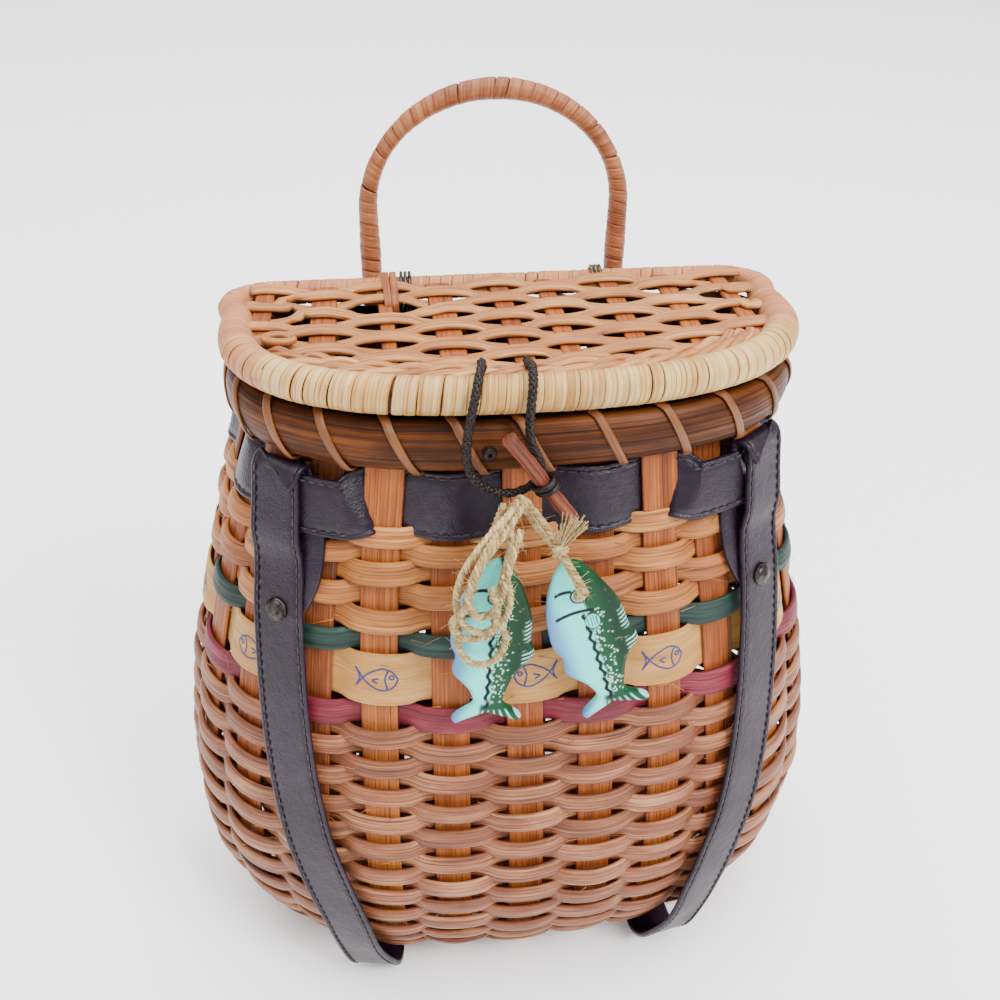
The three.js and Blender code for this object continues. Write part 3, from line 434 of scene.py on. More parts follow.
def rgb(r, g, b):
    """A colour as it should look on screen, 0 to 255, deepened for the strong light and soft tone curve."""
    linear = [((c / 255 + 0.055) / 1.055) ** 2.4 if c > 10 else c / 255 / 12.92 for c in (r, g, b)]
    return tuple(0.62 * c**1.22 for c in linear)


def reed_material(
    name, dark, mid, light, rough=0.55, fine=1500, contrast=0.5, along=26, dirt=0.35, bump=0.0004,
    line=0.6, shine=0.35,
):
    """Reed and cane: fine lines along each strand, a tone that drifts along it, and one of its own."""
    n = Nodes(name)
    dark, mid, light = (rgb(*colour) for colour in (dark, mid, light))
    u, v, w = n.grain()
    shift = n.times(w, 37.0)
    lines = n.noise(n.vector(n.times(u, along), n.times(v, fine), shift), 1.0, 4.0, 0.65)
    drift = n.noise(n.vector(n.times(u, 45.0), n.times(v, 220.0), shift), 1.0, 3.0)
    own = n.noise(n.vector(n.times(w, 91.0), 0.0, 0.0), 1.0, 0.0)
    tone = n.plus(n.times(lines, contrast), n.times(drift, 0.55))
    tone = n.plus(tone, n.times(own, 0.5))
    middle = contrast / 2 + 0.525
    tone = n.mapped(tone, middle - 0.3, middle + 0.34)
    colour = n.ramp(tone, (0.0, dark), (0.5, mid), (1.0, light))
    cracks = n.mapped(lines, 0.3, 0.44, 1.0, 0.0)
    colour = n.mix(n.times(cracks, line), colour, tuple(c * 0.35 for c in dark))
    stains = n.noise(n.place(), 38.0, 4.0)
    colour = n.mix(n.mapped(stains, 0.5, 0.75, 0.0, dirt), colour, tuple(c * 0.45 for c in mid))
    normal = n.bump(lines, bump)
    gloss = n.mapped(lines, 0.3, 0.7, rough + 0.12, rough - 0.08)
    return n.done(colour, gloss, normal, Specular_IOR_Level=shine)


reed = reed_material("reed", (92, 48, 30), (168, 104, 66), (236, 184, 140), rough=0.46, contrast=1.0)
upper_reed = reed_material(
    "upper_reed", (132, 72, 28), (204, 134, 66), (248, 196, 124), rough=0.46, contrast=1.0
)
stake_reed = reed_material(
    "stake_reed", (94, 44, 14), (184, 104, 40), (226, 152, 78), fine=1900, contrast=0.9, along=10,
    line=0.75,
)
lid_reed = reed_material(
    "lid_reed", (128, 72, 32), (208, 142, 82), (252, 208, 148), rough=0.44, contrast=0.7
)
pale_cane = reed_material(
    "pale_cane", (176, 106, 64), (224, 162, 112), (246, 202, 160), contrast=0.4, dirt=0.2
)
light_cane = reed_material(
    "light_cane", (136, 76, 28), (226, 172, 92), (255, 236, 180), rough=0.34, fine=2400, along=6,
    contrast=1.1, dirt=0.4, line=0.5,
)
dark_cane = reed_material(
    "dark_cane", (100, 50, 24), (178, 108, 62), (226, 164, 112), rough=0.38, along=14
)
lash_cane = reed_material(
    "lash_cane", (104, 58, 26), (164, 108, 58), (216, 164, 104), rough=0.38, along=14
)
rim_reed = reed_material(
    "rim_reed", (42, 20, 6), (96, 54, 22), (156, 98, 48), rough=0.42, fine=900, along=9, contrast=0.9,
    line=0.75, shine=0.12,
)
green_reed = reed_material(
    "green_reed", (16, 36, 32), (36, 72, 62), (84, 122, 106), fine=900, contrast=0.9
)
red_reed = reed_material("red_reed", (92, 16, 36), (146, 36, 62), (200, 104, 122), fine=900, contrast=0.9)
natural_reed = reed_material(
    "natural_reed", (170, 112, 52), (216, 164, 92), (244, 208, 146), fine=1000, along=8, contrast=0.4,
    dirt=0.2, line=0.15,
)
toggle_wood = reed_material(
    "toggle_wood", (76, 30, 14), (146, 76, 44), (196, 122, 80), fine=900, along=30, contrast=0.9
)


def leather_material():
    """Soft leather: wrinkles, fine pores and a slow drift in tone."""
    n = Nodes("leather")
    place = n.place()
    pores = n.add("TexVoronoi", feature="F1")
    n.put(pores.inputs["Vector"], place)
    pores.inputs["Scale"].default_value = 1500.0
    wrinkles = n.noise(place, 260.0, 5.0, 0.6)
    large = n.noise(place, 42.0, 3.0)
    tone = n.plus(n.times(wrinkles, 0.5), n.times(large, 0.5))
    colour = n.ramp(tone, (0.3, rgb(34, 17, 37)), (0.52, rgb(50, 29, 53)), (0.75, rgb(74, 51, 76)))
    normal = n.bump(wrinkles, 0.0005, 0.7)
    normal = n.bump(pores.outputs["Distance"], 0.00015, 0.6, normal)
    return n.done(colour, n.mapped(large, 0.3, 0.7, 0.46, 0.34), normal, Specular_IOR_Level=0.3)


def thread_material(name, dark, light, rough, scale=900.0):
    """Thread and cord: a fine mottle, a tone for each strand and some fuzz."""
    n = Nodes(name)
    own = n.grain()[2]
    tone = n.noise(n.place(), scale, 3.0)
    tone = n.plus(n.times(tone, 0.8), n.times(own, 0.3))
    fuzz = n.noise(n.place(), scale * 3, 2.0)
    colour = n.ramp(tone, (0.3, rgb(*dark)), (0.8, rgb(*light)))
    return n.done(colour, rough, n.bump(fuzz, 0.0002, 0.8), Specular_IOR_Level=0.25)


def metal_material(name, dark, light):
    """Worn metal, glossier where it is lighter."""
    n = Nodes(name)
    wear = n.noise(n.place(), 420.0, 4.0)
    colour = n.ramp(wear, (0.35, rgb(*dark)), (0.65, rgb(*light)))
    rough = n.mapped(wear, 0.3, 0.7, 0.48, 0.26)
    return n.done(colour, rough, n.bump(wear, 0.0001, 0.4), Metallic=1.0)


leather = leather_material()
stitch_thread = thread_material("stitch_thread", (50, 40, 48), (104, 90, 98), 0.6)
cord_black = thread_material("cord_black", (12, 6, 5), (58, 38, 30), 0.4, 700.0)
jute = thread_material("jute", (164, 128, 76), (246, 226, 176), 0.85)
pewter = metal_material("pewter", (52, 48, 47), (118, 113, 108))
dark_wire = metal_material("dark_wire", (66, 62, 58), (130, 124, 116))
brass_wire = metal_material("brass_wire", (96, 84, 60), (186, 170, 128))


def ink_material():
    n = Nodes("blue_ink")
    tone = n.noise(n.place(), 900.0, 2.0)
    return n.done(n.ramp(tone, (0.3, rgb(38, 44, 120)), (0.7, rgb(70, 76, 150))), 0.5)


blue_ink = ink_material()

# Stakes sit a little off their even places, as measured on the front
SHIFTS = {-4: -0.1, -3: -0.1, -2: -0.13, -1: -0.13, 0: -0.09, 1: -0.04, 2: -0.03, 3: -0.1, 4: -0.06}
stake_shift = np.array(
    [SHIFTS.get(k if k <= STAKES / 2 else k - STAKES, rng.normal(0, 0.03)) for k in range(STAKES)]
)


def stake_share(k):
    """The place round the outline of stake number k, which may be between two stakes."""
    k = np.asarray(k, float)
    shifts = np.append(stake_shift, stake_shift[0])
    return (k + np.interp(np.mod(k, STAKES), np.arange(STAKES + 1), shifts)) / STAKES


def base_out(z):
    """Where the middle of the weave lies, off the wall."""
    return np.interp(z, [0, 190, 210], [-2.2, -2.2, 0])


# Sections of flat and of round reed
FLAT = oval(12, 5)
ROUND = oval(12, 2.9)


def body_stakes():
    """Flat stakes from the base to the rim, over and under the leather band."""
    s = Strands()
    for k in range(STAKES):
        z = np.concatenate([np.linspace(BASE_HEIGHT + 1.5, 30, 18), np.linspace(33, RIM_TOP - 2, 60)])
        front = 1.2 if k % 2 == 0 else -1.2
        out = base_out(z) + np.interp(z, [196, 212, 224, 250], [0, front, front, front * 0.4])
        wobble = 0.12 * np.sin(z / 17 + k)
        share = stake_share(k) + 0.0006 * np.sin(z / 40 + 2 * k)
        p, normal, _ = wall_frames(share, z, out + wobble)
        half = 6.3 * np.interp(z, [3, 12, 30, 250], [0.6, 0.8, 1, 1])
        s.add(p, normal, half, 0.8, FLAT)
    s.build("body_stakes", stake_reed, node="basket_body")


def weave_wave(phase, power):
    """A wave that lingers over and under each stake, from 1 over stake 0 to -1 under stake 1."""
    wave = np.cos(np.pi * phase)
    return np.sign(wave) * abs(wave) ** power


def weave_row(
    s, z, parity, height, thick, amp, section=ROUND, start=None, power=0.62, pinch=0.84, jitter=1.0,
    seed=None,
):
    """One weaver round the body, over the stakes of its parity and under the others."""
    start = rng.integers(8, 17) + 0.0 if start is None else start
    k = np.linspace(start, start + 24.4, 245)
    wave = weave_wave(k - parity, power)
    at = np.arange(0, 50)
    lift = np.interp(k, at, rng.normal(0, 0.4, 50) * jitter)
    swing = np.interp(k, at, 1 + rng.normal(0, 0.12, 50) * jitter)
    height_here = z + lift
    out = base_out(height_here) + np.where(wave > 0, amp * swing, max(2.05, amp * 0.78)) * wave
    overlap = np.interp(k, [start, start + 0.8, start + 23.6, start + 24.4], [-0.5, 0, 0, 0.5])
    p, normal, _ = wall_frames(stake_share(k), height_here, out + overlap)
    tall = height / 2 * (pinch + (1 - pinch) * abs(wave))
    s.add(p, normal, tall, thick / 2, section, seed=seed)


# Rows lie side by side along the curve of the wall, not by height
CURVE_Z = np.arange(0.0, 140, 0.25)
CURVE = lengths_of(np.stack([swell(CURVE_Z), CURVE_Z], 1))


# Heights of the rows above the green one, and how tall their reeds are
UPPER_ROWS = [(206.4, 7.4), (200.2, 7.6), (193.6, 8.4), (186.2, 8.4), (178.6, 8.8)]


def weavers():
    """All the rows round the body: upper, lower and the three coloured ones between."""
    upper = Strands()
    for i, (z, tall) in enumerate(UPPER_ROWS):
        weave_row(upper, z, i % 2, tall, 2.5, 2.6, pinch=1.0)
    upper.build("weavers_upper", upper_reed)
    lower = Strands()
    parity = 0
    arc = np.interp(LOWER_TOP, CURVE_Z, CURVE)
    while arc > 3:
        z = np.interp(arc, CURVE, CURVE_Z)
        tall = np.interp(z, [5, 20, 40], [5.0, 6.6, 7.6])
        tall *= rng.uniform(0.93, 1.05)
        amp = np.interp(z, [5, 40], [2.3, 2.7])
        weave_row(lower, z, parity, tall, 2.5, amp, pinch=1.04, power=0.6)
        arc -= np.interp(z, [0, 20, 60, 140], [5.2, 5.8, 6.15, 6.25])
        parity = 1 - parity
    lower.build("weavers_lower", reed)
    for name, z, parity, tall, material, thick, section in (
        ("green", 170.4, 1, 8.4, green_reed, 2.0, oval(14, 3.2)),
        ("pen", PEN_ROW, 0, 19.4, natural_reed, 1.4, oval(16, 5)),
        ("red", 143.7, 1, 9.8, red_reed, 2.2, oval(14, 3.2)),
    ):
        s = Strands()
        weave_row(s, z, parity, tall, thick, 2.5, section, start=12.0, pinch=0.94, jitter=0.0)
        s.build(name + "_weaver", material, node=name + "_row")


def frays():
    """Loose slivers that stand off the body's reeds."""
    s = Strands()
    for _ in range(150):
        k, z = rng.uniform(-6.5, 6.5), rng.uniform(14, 205)
        p, normal, up = wall_frames(stake_share(k), z, base_out(z) + 3.0)
        t = np.cross(up, normal)
        along = t * rng.choice([-1, 1]) + up * rng.normal(0, 0.35)
        length = rng.uniform(2.5, 8)
        lift = rng.uniform(0.6, 2.2)
        line = spline([p, p + along * length * 0.5 + normal * 0.5, p + along * length + normal * lift], 5)
        s.add(line, normal, np.linspace(0.22, 0.05, len(line)), 0.07, oval(4, 2))
    s.build("reed_frays", upper_reed)


def pen_fish():
    """Blue pen drawings of a plain fish on the wide row, one wherever it passes over a stake."""
    s = Strands()
    body = [(-6.4, 0.2), (-4.6, 3.0), (-1.2, 4.4), (2.4, 3.2), (5.6, 0.9), (8.8, -3.4)]
    belly = [(-6.4, 0.2), (-4.8, -2.6), (-1.4, -4.0), (2.2, -3.0), (5.4, -0.6), (8.9, 3.9)]
    tail = [(8.8, -3.4), (7.4, 0.3), (8.9, 3.9)]
    gill = [(-2.9, 3.6), (-1.9, 0.4), (-2.7, -3.3)]
    fin = [(0.4, 0.6), (2.6, -0.2), (0.9, -1.3)]
    for k in range(-12, 12, 2):
        flip = 1 if k % 4 == 0 else -1
        size = 0.95 + 0.05 * rng.random()
        place = rng.normal(0, 0.6, 2)
        lines = [
            spline(np.c_[np.array(line), np.zeros(len(line))], 8) for line in (body, belly, tail, gill, fin)
        ]
        a = np.linspace(0, 2 * np.pi, 14)
        lines.append(np.c_[-4.2 + 0.75 * np.cos(a), 1.1 + 0.75 * np.sin(a), 0 * a])
        for line in lines:
            x = line[:, 0] * size * flip + place[0] + 1.0
            y = line[:, 1] * size + place[1] + 0.2
            share_width = PERIMETER / STAKES * (1 + swell(158) / 90)
            phase = k + x / share_width
            wave = weave_wave(phase, 0.62)
            out = base_out(PEN_ROW) + 2.5 * wave + 0.74
            p, normal, up = wall_frames(stake_share(phase), np.full(len(phase), PEN_ROW), out)
            p = p + up * y[:, None]
            s.add(p, normal, 0.32, 0.07, oval(6, 2), seed=rng.random())
    s.build("pen_fish", blue_ink)


def base_mat():
    """Flat reeds plaited across the bottom."""
    s = Strands()
    edge, _ = wall(np.linspace(0, 1, 400, endpoint=False), BASE_HEIGHT, -1.0)
    ys = np.arange(edge[:, 1].min() + 7, edge[:, 1].max() - 4, MAT_PITCH)
    xs = np.arange(-6 * MAT_PITCH, 80, MAT_PITCH)

    for axis, places in ((1, ys), (0, xs)):
        for i, value in enumerate(places):
            low_end, high_end = span(edge, axis, value)
            c = np.linspace(low_end, high_end, 60)
            cross = xs if axis == 1 else ys
            phase = (c - cross[0]) / MAT_PITCH
            sign = 1 if (i % 2 == 0) == (axis == 1) else -1
            z = 5.4 + sign * 0.85 * np.cos(np.pi * phase)
            p = np.zeros((60, 3))
            p[:, 1 - axis] = c
            p[:, axis] = value
            p[:, 2] = z
            s.add(p, UP, 5.9, 0.7, FLAT)
    s.build("base_mat", stake_reed)


body_stakes()
weavers()
pen_fish()
frays()
base_mat()


# Round strands
def frames_along(path, level):
    """Two directions across a path, the first at right angles to level."""
    tangent = unit(np.gradient(path, axis=0))
    side = unit(np.cross(tangent, level))
    return side, unit(np.cross(side, tangent))


def even_path(path, gap):
    """The same path with its points about a gap apart."""
    whole = lengths_of(path)[-1]
    return at_lengths(path, np.linspace(0, whole, max(int(whole / gap), 4) + 1))


def knot_turn(s, middle, u, v, radius, half_width, points=24, shift=0):
    """One closed turn of cord round a knot's middle, in the plane of u and v."""
    a = np.linspace(0, 2 * np.pi, points + 1)[:-1]
    turn = middle + around(u, v, a) * radius + shift
    s.add(turn, turn - middle, half_width, half_width, oval(8, 2), closed=True)


# Cords lie mostly across this direction, so their cross-directions never flip
CORD_LEVEL = np.array([0.1, 0.98, 0.17])


def twisted(s, path, plies, offset, radius, pitch):
    """Plies laid round a path, like twine."""
    path = even_path(path, pitch / 12)
    side, lift = frames_along(path, CORD_LEVEL)
    at = lengths_of(path)
    for i in range(plies):
        radial = around(side, lift, 2 * np.pi * (at / pitch + i / plies))
        s.add(path + radial * offset, radial, radius, radius, oval(6, 2), seed=rng.random())


def braided(s, path, radius, pitch):
    """Strands that cross over and under each other round a path."""
    path = even_path(path, pitch / 24)
    side, lift = frames_along(path, CORD_LEVEL)
    at = lengths_of(path)
    half = 4
    for way in (1, -1):
        for i in range(half):
            a = way * 2 * np.pi * at / pitch + 2 * np.pi * i / half
            r = radius * (0.66 + 0.12 * way * np.cos(half * a - np.pi * i))
            radial = around(side, lift, a)
            s.add(
                path + radial * r[:, None], radial, radius * 0.36, radius * 0.24, oval(6, 2),
                seed=rng.random(),
            )
    s.add(path, lift, radius * 0.6, radius * 0.6, oval(8, 2), seed=0.1)


def fibres(s, path, count, reach, spread, thick=0.07):
    """Loose hairs standing off a strand."""
    at = rng.integers(2, len(path) - 2, count)
    for i in at:
        along = unit(path[i + 1] - path[i - 1])
        off = unit(rng.normal(0, 1, 3))
        off = unit(off - along * off.dot(along))
        start = path[i] + off * spread
        bend = unit(off + along * rng.normal(0, 1.6)) * reach * rng.uniform(0.4, 1)
        curl = rng.normal(0, reach * 0.25, 3)
        line = spline(
            [start - off * spread * 0.5, start + bend * 0.5 + curl * 0.5, start + bend + curl], 5
        )
        s.add(line, off, np.linspace(thick, thick * 0.3, len(line)), thick, oval(4, 2))


front_y = wall(0, RIM_TOP, 0)[0][1]


def from_rim(points):
    """Places given from the top of the rim at the middle of the front."""
    return np.asarray(points, float) + [0, front_y, RIM_TOP]


# The holes that the fish hang by, how far each leans, and how the twine goes in
EYES = from_rim([[-13.5, -26.6, -46], [11.5, -27.4, -47]])
TILTS = (-0.06, 0.3)
INTO_EYE = np.array([[0, -6.2, 2.4], [0, -4.8, 0.2], [0, -0.4, 0]])
CORD_ROUTE = from_rim(
    [
        [-13.4, 11.6, 11.85], [-13.8, 6.5, 12.65], [-14.6, 1, 15.3], [-15.8, -4.5, 15.6],
        [-17.4, -9.6, 12.2], [-18.8, -11.6, 7], [-20, -12.6, 1], [-20.6, -13.2, -5], [-20, -13.6, -10.5],
        [-17.4, -14, -15], [-13, -14.2, -18], [-8, -14.2, -19.2], [-3.2, -14, -18.2], [0.4, -13.6, -15.6],
        [1.6, -13.4, -11.6], [0.2, -13.2, -7.2], [-1.6, -12.8, -2.4], [-2, -12.2, 3], [-1.6, -11.2, 8.4],
        [-0.8, -8.6, 13.4], [-0.2, -3.8, 15.8], [0.2, 1, 15.3], [0.4, 6.5, 12.65], [0.5, 11.6, 11.85],
    ]
)
TWINE_LEFT = np.vstack(
    [
        from_rim([[-7.4, -16.7, -21.4], [-8.6, -23, -26], [-10, -29.8, -30], [-12.4, -33, -37.4]]),
        EYES[0] + INTO_EYE,
    ]
)
TWINE_RIGHT = np.vstack(
    [
        from_rim([[-4.9, -16.7, -21.4], [-0.6, -23, -26], [4.6, -30.6, -30.4], [9.2, -33.8, -38]]),
        EYES[1] + INTO_EYE,
    ]
)
TWINE_LOOP = from_rim(
    [
        [-9.9, -16.7, -21.4], [-14.2, -24, -26.4], [-18.2, -30.4, -33.4], [-22.4, -33, -43],
        [-25.2, -33.6, -53], [-25.2, -33.8, -62], [-21.4, -33.8, -68], [-16.2, -33.8, -68.6],
        [-12.2, -33.8, -64.4], [-11, -34, -58.6], [-12.8, -34.8, -52.8],
    ]
)


def cord(name, node, route, diameter, material, braid=False):
    """A hanging cord with its plies or braid, and its hairs as a piece of their own."""
    path = spline(route, 12)
    s = Strands()
    if braid:
        braided(s, path, diameter / 2, 7.5)
    else:
        twisted(s, path, 3, diameter * 0.27, diameter * 0.27, 5.0)
        hairs = Strands()
        fibres(hairs, path, int(lengths_of(path)[-1] * 1.3), 3.5, diameter * 0.45)
        hairs.build(name + "_hairs", material, "lid")
    piece = s.build(name, material, "lid", node)


cord("closure_braid", "closure_cord", CORD_ROUTE, 3.0, cord_black, braid=True)
cord("twine_left_plies", "twine_left", TWINE_LEFT, TWINE, jute)
cord("twine_right_plies", "twine_right", TWINE_RIGHT, TWINE, jute)
cord("twine_loop_plies", "twine_loop", TWINE_LOOP, TWINE, jute)

# More of the same twine, bunched beside the left fish, and its second strand to the right one
BUNCH = {
    "twine_bunch_outer": [
        [-4.9, -18, -19.6], [-11.6, -28, -19.4], [-18.3, -33, -24.1], [-24.0, -34.5, -32.6],
        [-26.1, -35, -42.0], [-24.5, -35.5, -50.1], [-19.5, -36, -54.1], [-14.1, -36, -52.7],
        [-10.8, -36, -46.8], [-10.4, -36, -39.6], [-12.4, -37, -32.0],
    ],
    "twine_bunch_inner": [
        [-3.9, -19, -19.4], [-10.0, -29, -21.3], [-16.6, -35.5, -25.6], [-21.1, -37, -33.4],
        [-22.6, -37.5, -41.0], [-20.3, -38, -46.1], [-16.2, -38, -45.4], [-13.3, -38, -40.0],
        [-11.6, -37.5, -33.2], [-9.6, -35, -27.3], [-6.6, -30, -21.9],
    ],
    "twine_bunch_over": [
        [-6.1, -20, -18.6], [-12.8, -30, -20.7], [-18.2, -37, -25.1], [-22.4, -39, -33.9],
        [-23.7, -39.5, -41.5], [-27.7, -38, -47.7], [-24.6, -36.5, -55.1], [-18.0, -36.5, -55.4],
        [-15.0, -38.5, -49.3], [-14.7, -40, -41.2], [-16.5, -40, -34.4],
    ],
    "twine_second_strand": [
        [-3.3, -19, -19.8], [-0.3, -25, -21.7], [2.5, -30, -24.8], [4.5, -33, -27.8], [7.4, -35.6, -32.5],
        [10.4, -36.2, -38], [12.4, -35.8, -42.5],
    ],
}
for name, route in BUNCH.items():
    cord(name, None, from_rim(route), TWINE, jute)


def twine_knots():
    """Two knots in the twine, and the frayed end over the right one."""
    s = Strands()
    for middle, size in zip(from_rim([[-4.6, -18.6, -20.4], [4.6, -33, -27.8]]), (2.0, 1.7)):
        for i in range(4):
            u = unit(rng.normal(0, 1, 3))
            v = unit(np.cross(u, rng.normal(0, 1, 3)))
            knot_turn(s, middle, u, v, size, 0.8, shift=rng.normal(0, 0.4, 3))
    low, high = from_rim([[4.6, -33, -27.0], [7.9, -35, -17.2]])
    for _ in range(90):
        spread = rng.normal(0, 1, 3) * [1.9, 1.4, 1.5]
        line = spline([low + spread * 0.15, (low + high) / 2 + spread * 0.55, high + spread], 4)
        s.add(line, FORWARD, np.linspace(0.22, 0.08, len(line)), 0.12, oval(5, 2))
    s.build("twine_knots", jute, "lid")


twine_knots()


# Leather: band and straps, with grooves and stitches
# The section of a band: flat below, with a groove for the stitches near both edges
EDGED = np.array(
    [
        (-0.96, -1), (0.96, -1), (1, -0.6), (1, 0.75), (0.96, 1.1), (0.9, 1.15), (0.86, 0.9),
        (0.83, 0.55), (0.8, 0.9), (0.6, 1), (0, 1.02), (-0.6, 1), (-0.8, 0.9), (-0.83, 0.55),
        (-0.86, 0.9), (-0.9, 1.15), (-0.96, 1.1), (-1, 0.75), (-1, -0.6),
    ]
)


def stitch(s, at, along, face, length=2.5, radius=0.36):
    """One stitch that dips into the leather at both ends."""
    t = np.linspace(-0.5, 0.5, 5)
    lift = 0.32 - 1.5 * t**2
    line = at + along * (t * length)[:, None] + face * lift[:, None]
    s.add(line, face, radius * np.array([0.5, 0.9, 1, 0.9, 0.5]), radius * 0.8, oval(6, 2))


def stitch_line(s, path, face, pitch=3.4):
    marks = np.arange(pitch / 2, lengths_of(path)[-1], pitch)
    rows = np.hstack([path, face])
    at = lengths_of(path)
    for mark in marks:
        here = np.array([np.interp(mark, at, column) for column in rows.T])
        ahead = np.array([np.interp(mark + 0.5, at, column) for column in path.T])
        stitch(s, here[:3], unit(ahead - here[:3]), unit(here[3:]))


STRAP_SHARES = (3, 9, 15, 21)


def near_strap(k):
    """1 at a strap and 0 away from all four."""
    k = np.mod(k, STAKES)
    away = np.min([abs(k - s) for s in STRAP_SHARES], 0)
    return np.clip((0.84 - away) / 0.4, 0, 1)


def leather_band():
    """The band woven in and out of the stakes, flat under the straps, with its two lines of stitches."""
    k = np.linspace(0, STAKES, STAKES * 20, endpoint=False)
    wave = -weave_wave(k, 0.85)
    proud = step(near_strap(k), 0, 1)
    out = np.where(wave > 0, wave * 2.0, wave * 1.25) * (1 - proud) + 5.6 * proud
    wires = np.clip((0.5 - np.min([abs(k - g) for g in (10.5, 13.5)], 0)) / 0.25, 0, 1)
    dip = np.maximum(np.clip(near_strap(k) * 1.8 - 0.8, 0, 1), wires) * BAND_DIP
    bow = np.clip(wave, 0, 1) * 0.9 * (1 - proud)
    top, bottom = BAND_TOP + 0.6 - dip, BAND_BOTTOM + 0.8 - bow
    z = (top + bottom) / 2
    p, normal, up = wall_frames(stake_share(k), z, out)
    s = Strands()
    s.add(p, normal, (top - bottom) / 2, 1.0, EDGED, seed=0.3, closed=True)
    s.build("band_leather", leather, node="leather_band")
    stitches = Strands()
    tall = ((top - bottom) / 2)[:, None]
    for side in (1, -1):
        line = p + up * tall * 0.83 * side + normal * 0.75
        stitch_line(stitches, np.vstack([line, line[:1]]), np.vstack([normal, normal[:1]]))
    stitches.build("band_stitches", stitch_thread)


# How far aside the straps run: shares of the rim's height and of the half width
FRONT_RUN = [
    (0.29, 0.67), (0.37, 0.71), (0.46, 0.735), (0.55, 0.745), (0.64, 0.742), (0.72, 0.73), (0.785, 0.715),
    (0.9, 0.7),
]
BACK_RUN = [(0.29, 0.59), (0.46, 0.61), (0.64, 0.635), (0.785, 0.65), (0.9, 0.65)]

# Under the basket and up from the floor behind, as shares of the half width, a depth and the rim's height
STRAP_BELOW = [(0.53, -0.93), (0.5, -0.3), (0.5, 0.25)]
STRAP_BEHIND = [
    (0.51, 1.12, 0), (0.52, 1.28, 0.02), (0.54, 1.37, 0.08), (0.56, 1.43, 0.16), (0.575, 1.46, 0.23)
]

# Heights down a strap, and how far its middle stands off the wall there
FOLDED = BAND_TOP - BAND_DIP
STRAP_LEVELS = [
    (FOLDED + 0.4, 7.8), (215.7, 7.8), (204.8, 7.6), (196.8, 5.6), (RIVET_HEIGHT, 5.2), (173.75, 5.0),
    (158.08, 4.4), (135.85, 4.3), (113.62, 4.3), (91.39, 4.3), (71.63, 4.3),
]


def side_share(run, z, back):
    """The place round the outline of the right strap at a height, found by halving."""
    x = np.interp(z / RIM_TOP, [r[0] for r in run], [r[1] for r in run]) * HALF_WIDTH
    lo, hi = (0.32, 0.48) if back else (0.02, 0.19)
    for _ in range(30):
        mid = (lo + hi) / 2
        too_far = wall(mid, z, 0)[0][0] > x
        if too_far != back:
            hi = mid
        else:
            lo = mid
    return (lo + hi) / 2


def mirrored(z):
    """How much further in the left side leans than the right one."""
    return lean(z, LEAN_LEFT) / lean(z, LEAN_RIGHT)


def strap_route(side):
    """Rows of place, width direction and width, from one tail's end to the other's."""
    rows = []

    def on_wall(share, z, out, width=STRAP, flip=1):
        p, t = wall(share, z, out)
        rows.append([*p, *(t * flip), width])

    def tail(run, back):
        inward = 1 if back else -1
        steps = []
        for z, aside, width in (
            (175.75, 0, 12), (RIVET_HEIGHT, 1, 15), (186, 3, 17), (192, 4.8, 18.5), (199, 6.2, STRAP),
            (206, 6.6, STRAP), (214, 5, STRAP), (220, 2.4, STRAP), (FOLDED - 0.6, 0.8, STRAP),
        ):
            steps.append((side_share(run, z, back) + inward * aside / PERIMETER, z, 2.8, width))
        top_share = side_share(run, FOLDED, back)
        for turn in np.linspace(0.1, 0.9, 8):
            a = math.pi * turn
            share = top_share + inward * 0.6 * (1 - turn) / PERIMETER
            steps.append((share, FOLDED + 2.2 * math.sin(a), 5.3 - 2.5 * math.cos(a)))
        return steps

    for row in tail(FRONT_RUN, False):
        on_wall(*row)
    for z, out in STRAP_LEVELS:
        on_wall(side_share(FRONT_RUN, z, False), z, out)
    low = STRAP_LEVELS[-1][0]
    aslant = wall(side_share(FRONT_RUN, low, False), low, 0)[1]
    to_x = np.array([1.0, 0, 0])
    middle = unit(aslant + to_x)
    for x, y, h, across in (
        (0.638, -1.19, 0.21, aslant), (0.6, -1.175, 0.13, aslant), (0.56, -1.11, 0.06, middle),
        (0.54, -1.03, 0.022, middle),
    ):
        rows.append([x * HALF_WIDTH, y * FRONT_DEPTH, h * RIM_TOP + 0.9, *across, STRAP])
    for x, y in STRAP_BELOW:
        rows.append([x * HALF_WIDTH, y * FRONT_DEPTH, 0.9, 1, 0, 0, STRAP])
    for x, y, h in STRAP_BEHIND:
        rows.append([x * HALF_WIDTH, y * BACK_DEPTH, h * RIM_TOP + 0.9, 1, 0, 0, STRAP])
    for z, out in STRAP_LEVELS[::-1]:
        on_wall(side_share(BACK_RUN, z, True), z, out, flip=-1)
    for row in tail(BACK_RUN, True)[::-1]:
        on_wall(*row, flip=-1)
    rows = np.array(rows)
    if side < 0:
        rows[:, 0] *= -mirrored(rows[:, 2])
        rows[:, 4] *= -1
    return rows


def strap(name, side):
    """A strap of leather and its stitches, which leave out the tucked ends."""
    rows = spline(strap_route(side), 8)
    path, across, width = rows[:, :3], rows[:, 3:6], rows[:, 6]
    path[:, 2] = np.maximum(path[:, 2], 1.0)
    normal = unit(np.cross(unit(np.gradient(path, axis=0)), across))
    s = Strands()
    s.add(path, normal, width / 2, 0.9, EDGED, seed=0.5 + 0.2 * side)
    s.build("leather_" + name, leather, node=name)
    stitches = Strands()
    keep = slice(8 * 13, len(rows) - 8 * 13)
    for edge in (1, -1):
        line = path + unit(across) * (width / 2 * 0.83)[:, None] * edge + normal * 0.75
        stitch_line(stitches, line[keep], normal[keep])
    stitches.build(name + "_stitches", stitch_thread)


